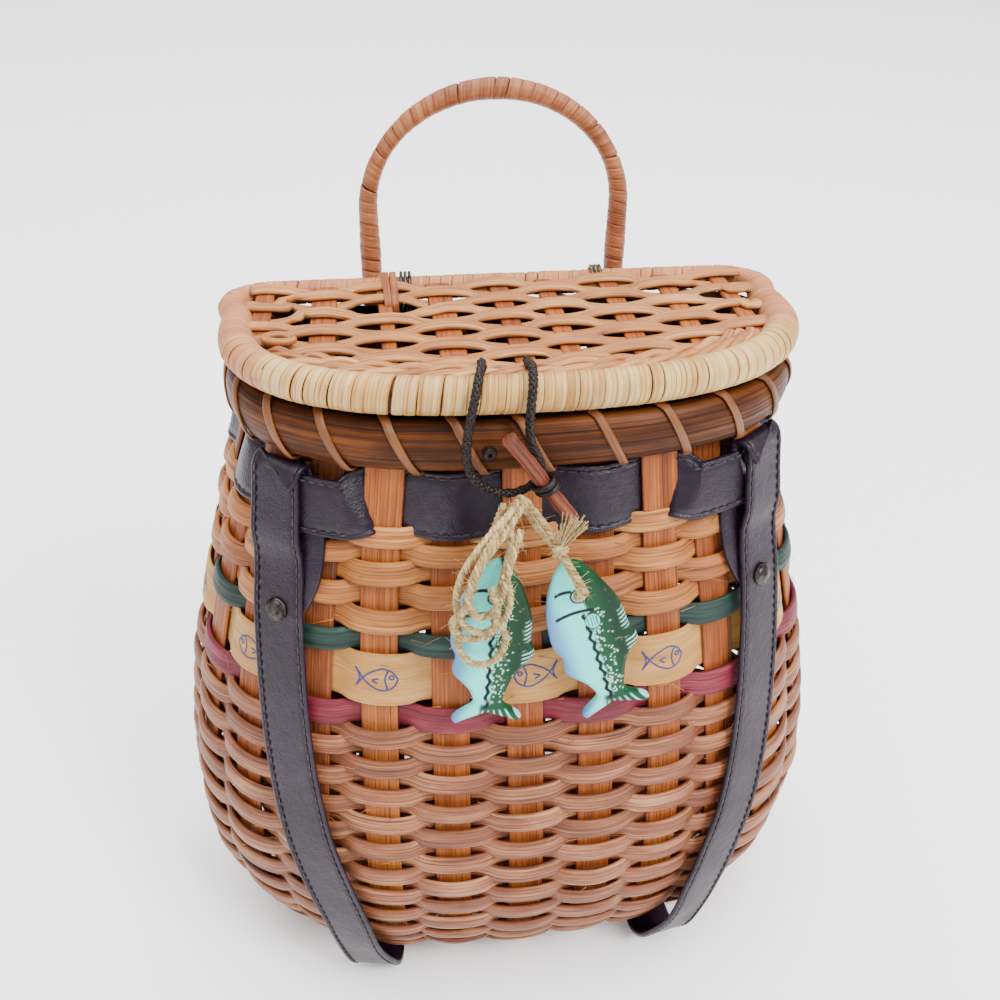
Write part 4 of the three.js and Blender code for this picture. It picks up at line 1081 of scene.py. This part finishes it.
def lathe(s, at, outward, profile, sides=28):
    """A turned piece: profile rows of radius and height."""
    outward = unit(np.asarray(outward, float))
    across = unit(np.cross(outward, [0.3, 0.2, 0.9]))
    upward = np.cross(outward, across)
    a = np.arange(sides) / sides * 2 * np.pi
    ring = around(across, upward, a)
    verts = np.vstack(
        [at + ring * r + outward * h for r, h in profile] + [(at + outward * profile[-1][1])[None]]
    )
    faces = []
    for i in range(len(profile) - 1):
        for j in range(sides):
            k = (j + 1) % sides
            faces.append((i * sides + j, i * sides + k, (i + 1) * sides + k, (i + 1) * sides + j))
    last = (len(profile) - 1) * sides
    tip = len(verts) - 1
    faces += [(last + j, last + (j + 1) % sides, tip) for j in range(sides)]
    faces.append(tuple(range(sides))[::-1])
    s.raw(verts, faces)


# A rivet's head from rim to crown: radius and height as shares of its radius
DOME = [
    (0.96, 0), (1, 0.06), (1, 0.14), (0.95, 0.22), (0.86, 0.24), (0.82, 0.22), (0.76, 0.3), (0.6, 0.4),
    (0.4, 0.46), (0.2, 0.49),
]


def rivets():
    for name, side in (("left", -1), ("right", 1)):
        for place, run, back in (("front", FRONT_RUN, False), ("back", BACK_RUN, True)):
            share = side_share(run, RIVET_HEIGHT, back)
            p, normal, _ = wall_frames(share, RIVET_HEIGHT, 6.2)
            if side < 0:
                p, normal = p * [-mirrored(RIVET_HEIGHT), 1, 1], normal * [-1, 1, 1]
            s = Strands()
            lathe(s, p, normal, [(r * 4, h * 4) for r, h in DOME])
            s.build(f"rivet_head_{name}_{place}", pewter, node=f"rivet_{name}_{place}")


leather_band()
strap("strap_left", -1)
strap("strap_right", 1)
rivets()


# Rim: half-round reed outside, flat reed inside, lashed together with cane
def rim():
    k = np.linspace(0, STAKES, STAKES * 12, endpoint=False)
    a = np.linspace(-np.pi / 2, np.pi / 2, 13)
    half_round = [(math.sin(v), -1 + 2 * math.cos(v) ** 0.75 if math.cos(v) > 1e-6 else -1) for v in a]
    section = np.array(half_round)
    s = Strands()
    z = np.full(len(k), RIM_MIDDLE)
    wobble = 0.15 * np.sin(k * 1.3) + 0.1 * np.sin(k * 3.1)
    p, normal, _ = wall_frames(k / STAKES, z + wobble, 2.3 + 2.75)
    s.add(p, normal, 8.5, 2.75, section, seed=0.2, closed=True)
    s.build("outer_rim_reed", rim_reed, node="rim_outer_reed")
    s = Strands()
    p, normal, _ = wall_frames(k / STAKES, z - wobble, -2.3 - 1.6)
    s.add(p, normal, 8.5, 1.6, oval(12, 4), seed=0.7, closed=True)
    s.build("inner_rim_reed", rim_reed, node="rim_inner_reed")


# One turn of the lashing: share of the way to the next stake, place off the wall and height
LASH_TURN = [
    (0.0, 3.2, 247.9), (0.06, 5.2, 247.3), (0.12, 6.9, 245.2), (0.19, 7.85, 242.4),
    (0.28, 8.3, RIM_MIDDLE), (0.37, 7.85, 234.6), (0.44, 6.9, 231.8), (0.49, 5.2, 229.6),
    (0.53, 2.0, 229.1), (0.58, -5.2, 229.4), (0.74, -5.9, RIM_MIDDLE), (0.9, -5.2, 247.6),
]


def lashing():
    """Cane wound round the rim, once for each stake."""
    rows = []
    for k in range(STAKES):
        corner = 3 < abs(k + 0.5 - 12) < 6
        drift = rng.normal(0, 0.03)
        for phase, out, z in LASH_TURN:
            slack = -1.2 if corner and out < 0 else 0
            phase += drift
            share = (k + phase - 0.15) / STAKES
            rows.append([*wall(share, z, out + slack)[0], *wall(share, RIM_MIDDLE, 0)[0]])
    rows = spline(np.array(rows + rows[:1]), 4)[:-1]
    path = rows[:, :3]
    s = Strands()
    s.add(path, unit(path - rows[:, 3:]), 1.4, 0.45, oval(10, 3), seed=0.4, closed=True)
    s.build("lashing_cane", lash_cane, node="rim_lashing")


rim()
lashing()


# Lid
def lid_radius(share):
    """The lid's rod: thick round the front and thinner at the sides and back."""
    away = abs(share - np.round(share))
    return 6 + (4.3 - 6) * step(away, 0.215, 0.335)


def wrap(s, centre, level, radius, pitch, width, thick, steps=22, jitter=0.05):
    """Cane wound round a rod."""
    at = lengths_of(centre)
    turns = at[-1] / pitch
    mark = np.linspace(0, at[-1], int(turns * steps))
    c = at_lengths(centre, mark)
    r = np.interp(mark, at, radius)
    side, lift = frames_along(c, np.asarray(level, float))
    own = np.interp(mark / pitch, np.arange(int(turns) + 3), rng.normal(0, 1, int(turns) + 3))
    a = 2 * np.pi * (mark / pitch) + own * 0.25
    r = r + own * jitter
    radial = around(side, lift, a)
    slide = np.interp(
        mark / pitch, np.arange(int(turns) + 3), rng.normal(0, pitch * 0.05, int(turns) + 3)
    )
    c = c + unit(np.gradient(c, axis=0)) * slide[:, None]
    s.add(c + radial * r[:, None], radial, width / 2, thick / 2, oval(10, 4), seed=rng.random())


def lid_centre(share):
    return wall(share, LID_REST + lid_radius(share), LID_OVERHANG)[0]


def lid_rims():
    """The wrapped rods round the lid, each with its core."""
    for name, node, low, high, material, pitch in (
        ("front_wrap", "lid_front_rim", -0.172, 0.195, light_cane, 3.6),
        ("front_wrap_left", "lid_front_rim", -0.218, -0.17, pale_cane, 3.9),
        ("front_wrap_right", "lid_front_rim", 0.193, 0.218, pale_cane, 3.9),
        ("back_wrap", "lid_back_rim", 0.214, 0.786, pale_cane, 3.9),
    ):
        share = np.linspace(low, high, 400)
        centre = lid_centre(share)
        radius = lid_radius(share)
        s = Strands()
        wrap(s, centre, (0, 0, 1), radius - 0.45, pitch, pitch * 1.02, 0.8)
        s.build(name, material, "lid", node)
        core = Strands()
        _, lift = frames_along(centre, UP)
        core.add(centre, lift, radius - 0.6, radius - 0.6, oval(16, 2), seed=0.2)
        core.build(name + "_core", rim_reed, "lid")


# Places of the lid's stakes from left to right, and their half widths
LID_STAKES = np.array([-82.0, -61.6, -40.7, -21.0, 0.8, 17.0, 39.9, 60.2, 81.0])
LID_STAKE_HALVES = (3.2, 4.4, 2.4, 4.4, 3.4, 3.2, 3.4, 3.4, 3.0)
HINGE_Y = wall(0.5, HINGE_Z, LID_OVERHANG)[0][1]

# Gaps parted in the weave: middle from the hinge, length and width as shares of the half width, and slope
LID_GAPS = [
    (-0.376, -0.208, 0.315, 0.041, -0.1), (-0.713, -0.116, 0.139, 0.026, -0.2),
    (-0.704, -0.181, 0.157, 0.026, -0.15), (-0.713, -0.245, 0.157, 0.026, -0.1),
    (-0.722, -0.310, 0.148, 0.024, -0.05), (0.713, -0.130, 0.130, 0.026, 0.22),
    (0.713, -0.194, 0.157, 0.026, 0.2), (0.722, -0.259, 0.148, 0.026, 0.16),
    (0.722, -0.324, 0.148, 0.026, 0.12), (0.731, -0.389, 0.120, 0.024, 0.08),
]

# Twined rows along the lid's front: the two ends, how far in from the edge, and the height
TWINING = [(-0.205, 0.2, 8.2, 257.2), (-0.17, 0.19, 12.0, 257.4)]

ROUND_SHARES = np.linspace(0, 1, 1200, endpoint=False)
LID_EDGE = wall(ROUND_SHARES, LID_REST, LID_OVERHANG - lid_radius(ROUND_SHARES) * 0.75)[0]


def lid_weave():
    """Stakes, weavers parted at the gaps, and the twining and curl along the front."""
    s = Strands()
    for i, x in enumerate(LID_STAKES):
        low_end, high_end = span(LID_EDGE, 0, x)
        y = np.linspace(low_end, high_end, 80)
        p = np.stack([x + 0.4 * np.sin(y / 20 + i), y, 255.3 + 0 * y], 1)
        s.add(p, UP, LID_STAKE_HALVES[i], 0.7, FLAT)
    s.build("lid_stakes", stake_reed, "lid")
    s = Strands()
    rows = np.arange(HINGE_Y - 5.6, -64, -7.2)
    for i, y0 in enumerate(rows):
        low_end, high_end = span(LID_EDGE, 1, y0)
        if high_end - low_end < 24:
            continue
        x = np.linspace(low_end, high_end, int((high_end - low_end) / 1.6))
        phase = np.interp(x, LID_STAKES, np.arange(len(LID_STAKES)))
        wave = weave_wave(phase - i, 0.65)
        y = np.full(len(x), y0) + np.interp(x, np.linspace(-110, 110, 12), rng.normal(0, 0.3, 12))
        narrow = np.ones(len(x))
        for gx, gy, length, width, turn in LID_GAPS:
            gx, gy, length, width = (v * HALF_WIDTH for v in (gx, gy, length, width))
            line = HINGE_Y + gy + turn * (x - gx)
            window = np.clip((length / 2 + 3 - abs(x - gx)) / 5, 0, 1)
            away = y0 - line
            y += np.sign(away) * np.exp(-((away / 6.5) ** 2)) * width * 0.62 * window
            narrow -= 0.22 * window * np.exp(-((away / 5.0) ** 2))
        out = 1.5 * wave * (1 + np.interp(x, np.linspace(-110, 110, 14), rng.normal(0, 0.1, 14)))
        p = np.stack([x, y, 255.55 + out], 1)
        s.add(p, UP, 3.45 * narrow * (0.84 + 0.16 * abs(wave)), 1.0, ROUND)
    for inside, rise in ((5.4, 254.4), (7.6, 253.8)):
        p = wall(np.linspace(0.36, 0.64, 120), rise, LID_OVERHANG - inside)[0]
        s.add(p, UP, 1.7, 0.8, ROUND)
    s.build("lid_weavers", lid_reed, "lid", "lid_weave")
    s = Strands()
    for row, (low, high, inside, rise) in enumerate(TWINING):
        share = np.linspace(low, high, 300)
        phase = np.interp(share, np.linspace(low, high, 15), np.arange(15.0))
        for ply in (0, 1, 2)[: 3 - row]:
            a = 2 * np.pi * (phase / 2 + ply / (3 - row)) + row
            ends = step(share, low, low + 0.02) * step(share, high, high - 0.02)
            out = LID_OVERHANG - inside - 1.3 * np.sin(a)
            p = wall(share, rise + 0.9 * np.cos(a) - 3.0 * (1 - ends), out)[0]
            s.add(p, UP, 1.5, 1.0, ROUND)
    a = np.linspace(0.1 * np.pi, 2.1 * np.pi, 30)
    curl = np.stack([4.2 * np.cos(a), 2.6 * np.sin(a), 0.9 * np.sin(a / 2)], 1)
    curl = wall(-0.2, 258.6, LID_OVERHANG - 11.5)[0] + curl
    s.add(curl, UP, 1.5, 1.0, ROUND)
    s.build("lid_twining", lid_reed, "lid")


def lid_tie():
    """Two strips of cane from the back rod into the large gap."""
    s = Strands()
    gap_y = HINGE_Y - 22.5
    for dx in (-1.35, 1.35):
        rows = []
        for t, r in ((-0.05, 3.9), (0.12, 4.6), (0.3, 5.4), (0.46, 5.6), (0.62, 5.6)):
            a = math.pi * t
            rows.append([TIE_X + dx, HINGE_Y + r * math.cos(a), HINGE_Z + r * math.sin(a)])
        rows += [[TIE_X + dx, HINGE_Y - 8, 258.2], [TIE_X + dx * 0.9, gap_y + 2.6, 258.3]]
        rows += [[TIE_X + dx * 0.9, gap_y + 0.4, 256.7], [TIE_X + dx * 0.9, gap_y, 253.2]]
        path = spline(rows, 8)
        normal = unit(np.cross(unit(np.gradient(path, axis=0)), [1.0, 0, 0]))
        s.add(path, normal * np.sign(normal[len(path) // 2][2]), 1.25, 0.45, oval(10, 3))
    s.build("lid_tie_strips", dark_cane, "lid", "lid_tie")


def hinge_wires():
    """Three turns of wire round the lid's back rod and the rim, on each side."""
    for name, x, material in (("left", -32.2, dark_wire), ("right", 37.4, brass_wire)):
        loop = [
            (17.11, 228.8), (17.11, 246), (HINGE_Y - 5.5, HINGE_Z + 0.5),
            (HINGE_Y - 3.78, HINGE_Z + 4.05), (HINGE_Y, HINGE_Z + 5.6), (HINGE_Y + 3.78, HINGE_Z + 4.05),
            (HINGE_Y + 5.5, HINGE_Z), (36.11, 244), (36.11, 228.8), (35.11, 227.2), (18.11, 227.2),
        ]
        points = []
        for turn in range(3):
            for i, (y, z) in enumerate(loop):
                points.append([x + (turn + i / len(loop) - 1.5) * 1.5, y, z])
        s = Strands()
        path = spline(points, 6)
        s.add(path, frames_along(path, np.array([1.0, 0, 0]))[1], 0.6, 0.6, oval(8, 2))
        s.build(f"wire_{name}", material, node=f"hinge_wire_{name}")


def handle():
    """The wrapped arch behind the lid, with a tack in each leg."""
    box_low, box_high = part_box("handle")
    y = (box_low.y + box_high.y) / 2 * 1000 - SHIFT[1]
    spring = HANDLE_TOP - HANDLE_HALF_SPAN * 0.98
    rise = HANDLE_TOP - HANDLE_RADIUS - spring
    legs = np.linspace(231, spring, 30)
    a = np.linspace(np.pi, 0, 90)
    leg = np.ones(len(legs) - 1)
    x = HANDLE_X + HANDLE_HALF_SPAN * np.concatenate([-leg, np.cos(a), leg])
    z = np.concatenate([legs[:-1], spring + np.sin(a) * rise, legs[:-1][::-1]])
    centre = even_path(np.stack([x, np.full(len(x), y), z], 1), 1.2)
    along = np.linspace(0, 1, len(centre))
    radius = HANDLE_RADIUS * np.interp(
        along, [0, 0.14, 0.3, 0.5, 0.7, 0.86, 1], [0.86, 1.04, 0.76, 1, 0.8, 1.04, 0.86]
    )
    s = Strands()
    wrap(s, centre, (0, 1, 0), radius - 0.4, 4.2, 4.3, 0.75)
    s.build("handle_wrap", dark_cane, node="handle")
    core = Strands()
    side, lift = frames_along(centre, np.array([0, 1.0, 0]))
    core.add(centre, lift, radius - 0.55, radius - 0.55, oval(14, 2), seed=0.6)
    core.build("handle_core", rim_reed)
    for name, side in (("left", -1), ("right", 1)):
        s = Strands()
        lathe(
            s, np.array([HANDLE_X + side * HANDLE_HALF_SPAN, y + 4.0, 237.65]), (0, 1, 0),
            [(r * 2, h * 2.4) for r, h in DOME], 20,
        )
        s.build(f"tack_{name}", pewter, node=f"handle_tack_{name}")


lid_rims()
lid_weave()
lid_tie()
hinge_wires()
handle()


# Toggle and knot
def toggle():
    """A whittled twig and the two coils of cord round it."""
    axis = unit(np.array([-0.565, 0, 0.825]))
    centre = from_rim([[1, -18.4, -12.6]])[0]
    t = np.concatenate([[-0.5], np.linspace(-0.494, 0.494, 38), [0.5]])
    bend = np.array([0.5, 0.2, 0.4]) * np.sin(t * 7)[:, None] * 0.25
    path = centre + axis * (t * TOGGLE_LENGTH)[:, None] + bend
    radius = 2.3 * (1 + 0.05 * np.sin(t * 16) + 0.03 * np.sin(t * 41))
    radius[[0, -1]] *= 0.86
    s = Strands()
    s.add(path, FORWARD, radius, radius, oval(16, 2.1))
    coils = Strands()
    for at in (-1.9, 0.1):
        a = np.linspace(0, 2 * np.pi, 29)[:-1]
        u = unit(np.cross(axis, [0.1, 1, 0.2]))
        v = np.cross(axis, u)
        middle = centre - axis * (1.2 - at)
        loop = middle + around(u, v, a) * 3.2 + axis * (0.5 * np.cos(a))[:, None]
        coils.add(loop, loop - middle, 0.95, 0.95, oval(8, 2), closed=True)
    coils.build("toggle_coils", cord_black, "lid")
    s.build("toggle_twig", toggle_wood, "lid", "toggle")


def rim_knot():
    """The cord's knot on the front of the rim."""
    centre = wall(-0.62 / STAKES, 240.5, 11.9)[0]
    s = Strands()
    for i in range(4):
        turn = i * 0.8
        u = unit(np.array([math.cos(turn), 0.25 * (-1) ** i, math.sin(turn)]))
        v = unit(np.cross(u, [0.2, 1, 0.1]))
        knot_turn(s, centre, u, v, 1.35, 0.95, shift=np.array([0, 0.5 * (i - 1.5), 0]))
    s.build("rim_knot_cord", cord_black, node="rim_knot")


toggle()
rim_knot()


# Fish
# Shares of the length, and the belly's and the back's half widths there as shares of the fish's width
FISH_HALF = np.array(
    [
        (0, 0.02, 0.02), (0.02, 0.1, 0.1), (0.07, 0.2, 0.18), (0.2, 0.36, 0.32), (0.34, 0.44, 0.42),
        (0.48, 0.46, 0.44), (0.56, 0.4, 0.49), (0.66, 0.42, 0.32), (0.78, 0.22, 0.22), (0.86, 0.16, 0.18),
        (0.97, 0.4, 0.42), (1, 0.36, 0.38),
    ]
)


def paint_fish(along, x, side):
    """Colours by place: along from nose to tail, x in mm from the belly side to the back side."""
    across = x / FISH_WIDTH
    colour = np.zeros((*along.shape, 3))

    def lay(mask, tone):
        m = np.clip(mask, 0, 1)[..., None]
        colour[:] = colour * (1 - m) + np.array(tone)[:3] * m

    stipple = np.random.default_rng(5 + side)
    scallop = 0.02 * abs(np.sin(along * 38))
    black = rgb(2, 6, 8)
    mint = 1.35 * np.array(rgb(118, 238, 228))[:3]
    lay(np.ones_like(along), mint)
    lay(step(across, -0.16, -0.4), rgb(124, 176, 224))
    lay(step(across, 0.0 + scallop, 0.03 + scallop), rgb(12, 100, 62))
    lay(step(across, 0.1, 0.3), rgb(4, 72, 42))
    lay(step(along, 0.85, 0.88) * step(across, -0.12, -0.06), rgb(14, 96, 62))
    rays = 0.5 + 0.5 * np.sin(np.arctan2(across * FISH_WIDTH, (along - 0.72) * FISH_LENGTH) * 44)
    lay(step(along, 0.895, 0.92) * step(rays, 0.66, 0.9) * step(across, -0.16, -0.1), rgb(190, 244, 236))
    for low, high in ((0.34, 0.48), (0.52, 0.68)):
        edge = step(across, 0.33, 0.37) * step(along, low, low + 0.02) * step(along, high, high - 0.02)
        lay(edge * step(0.5 + 0.5 * np.sin(along * 250 + across * 40), 0.5, 0.8), rgb(184, 240, 230))
    for _ in range(120):
        a, c = stipple.uniform(0.3, 0.86), 0.035 + abs(stipple.normal(0, 0.085))
        d = np.hypot((along - a) * FISH_LENGTH, (across - c) * FISH_WIDTH)
        lay(step(d, 0.38, 0.22), rgb(226, 255, 250))
    lateral = abs(across + 0.012 - 0.014 * np.sin(along * 90) - 0.006 * np.sin(along * 37))
    lay(step(lateral, 0.03, 0.018) * step(along, 0.3, 0.32) * step(along, 0.9, 0.88), black)
    arc = abs(along - 0.29 - 0.3 * (across + 0.1) ** 2)
    lay(step(arc, 0.013, 0.007) * step(across, 0.12, 0.1) * step(across, -0.34, -0.32), black)
    arc = abs(along - 0.155 - 0.9 * (across + 0.16) ** 2)
    lay(step(arc, 0.013, 0.007) * step(abs(across + 0.16), 0.11, 0.09), black)
    fin = np.hypot((along - 0.37) * FISH_LENGTH, (across - 0.06) * FISH_WIDTH * 1.3)
    lay(step(fin, 3.5, 3.2), black)
    lay(step(fin, 3.0, 2.8), mint)
    lay(step(fin, 2.8, 2.5) * step(0.5 + 0.5 * np.sin(across * 190), 0.6, 0.85), rgb(10, 82, 60))
    eye = np.hypot((along - FISH_EYE) * FISH_LENGTH, across * FISH_WIDTH)
    lay(step(eye, 3.1, 2.8), black)
    lay(step(eye, 2.4, 2.1), rgb(226, 240, 236))
    return colour


def fish(name, eye, tilt, side):
    """A flat wooden fish that hangs by a hole in its head."""
    rows, cols = 210, 88
    u = np.linspace(0, 1, rows)[:, None]
    v = np.linspace(-1, 1, cols)[None]
    smooth = spline(np.c_[FISH_HALF[:, 0], FISH_HALF[:, 1], FISH_HALF[:, 2]], 12)
    belly = np.interp(u, smooth[:, 0], smooth[:, 1])
    back = np.interp(u, smooth[:, 0], smooth[:, 2])
    x = np.where(v > 0, back * v, belly * v) * FISH_WIDTH
    along = u - 0.07 * (1 - abs(v)) * step(u, 0.84, 1.0)
    edge = np.minimum((1 - abs(v)) * (belly + back) * FISH_WIDTH / 2, np.minimum(u, 1 - u) * FISH_LENGTH)
    thick = 1.8 * (0.3 + 0.7 * np.sqrt(np.clip(edge / 1.6, 0, 1)))
    hole = np.hypot((along - FISH_EYE) * FISH_LENGTH, x)
    thick = thick - 1.5 * step(hole, 1.9, 1.45)
    z = (FISH_EYE - along) * FISH_LENGTH
    sheets = [np.stack([x, way * thick - 1.8, z + 0 * x], -1) for way in (-1, 1)]
    verts = np.vstack([sheet.reshape(-1, 3) for sheet in sheets])
    cos_tilt, sin_tilt = math.cos(tilt), math.sin(tilt)
    across, thickness, up = verts.T
    turned = np.stack(
        [across * cos_tilt - up * sin_tilt, thickness, across * sin_tilt + up * cos_tilt], 1
    )
    index = np.arange(rows * cols).reshape(rows, cols)
    a, b, d, e = index[:-1, :-1], index[:-1, 1:], index[1:, 1:], index[1:, :-1]
    front = np.stack([e, d, b, a], -1).reshape(-1, 4)
    n = rows * cols
    faces = front.tolist() + (front[:, ::-1] + n).tolist()
    border = np.concatenate([index[0, :-1], index[:-1, -1], index[-1, :0:-1], index[:0:-1, 0]])
    after = np.roll(border, -1)
    faces += np.stack([border, after, after + n, border + n], -1).tolist()
    colour = np.concatenate([paint_fish(along, x, side).reshape(-1, 3)] * 2)
    colour = np.c_[colour, np.ones(len(colour))]
    make_piece(
        name + "_painted", turned + eye, faces, fish_paint, "lid", name, "paint", "FLOAT_COLOR", "color",
        colour
    )


def fish_material():
    n = Nodes("fish_paint")
    paint = n.add("Attribute", attribute_name="paint").outputs["Color"]
    wear = n.noise(n.place(), 300.0, 5.0)
    colour = n.mix(n.mapped(wear, 0.62, 0.72, 0.0, 0.5), paint, rgb(196, 190, 170))
    return n.done(colour, 0.42, n.bump(wear, 0.0002, 0.5), Specular_IOR_Level=0.15)


fish_paint = fish_material()
fish("fish_left", EYES[0], TILTS[0], 0)
fish("fish_right", EYES[1], TILTS[1], 1)


# Floor, lights and world. The lights have a place and a size in metres, and a power in watts
LIGHTS = [
    ("key", (0.7, -0.8, 1.2), 0.5, 30), ("fill", (-1.2, -1.0, 1.0), 1.4, 7),
    ("overhead", (0.0, 0.6, 3.5), 5.0, 420),
]


def studio():
    n = Nodes("floor")
    n.done((0.98, 0.98, 0.98, 1), 0.9)
    mesh = bpy.data.meshes.new("floor")
    mesh.from_pydata([(-6, -6, 0), (6, -6, 0), (6, 6, 0), (-6, 6, 0)], [], [(0, 1, 2, 3)])
    mesh.materials.append(n.material)
    floor = bpy.data.objects.new("floor", mesh)
    bpy.context.scene.collection.objects.link(floor)
    for name, place, size, power in LIGHTS:
        light = bpy.data.lights.new(name, "AREA")
        light.size = size
        light.energy = power
        lamp = bpy.data.objects.new(name, light)
        lamp.location = place
        lamp.rotation_euler = (Vector((0, 0, 0.12)) - Vector(place)).to_track_quat("-Z", "Y").to_euler()
        bpy.context.scene.collection.objects.link(lamp)
    world = bpy.data.worlds.new("world")
    world.use_nodes = True
    world.node_tree.nodes["Background"].inputs[0].default_value = (1, 1, 1, 1)
    world.node_tree.nodes["Background"].inputs[1].default_value = 0.85
    bpy.context.scene.world = world


studio()
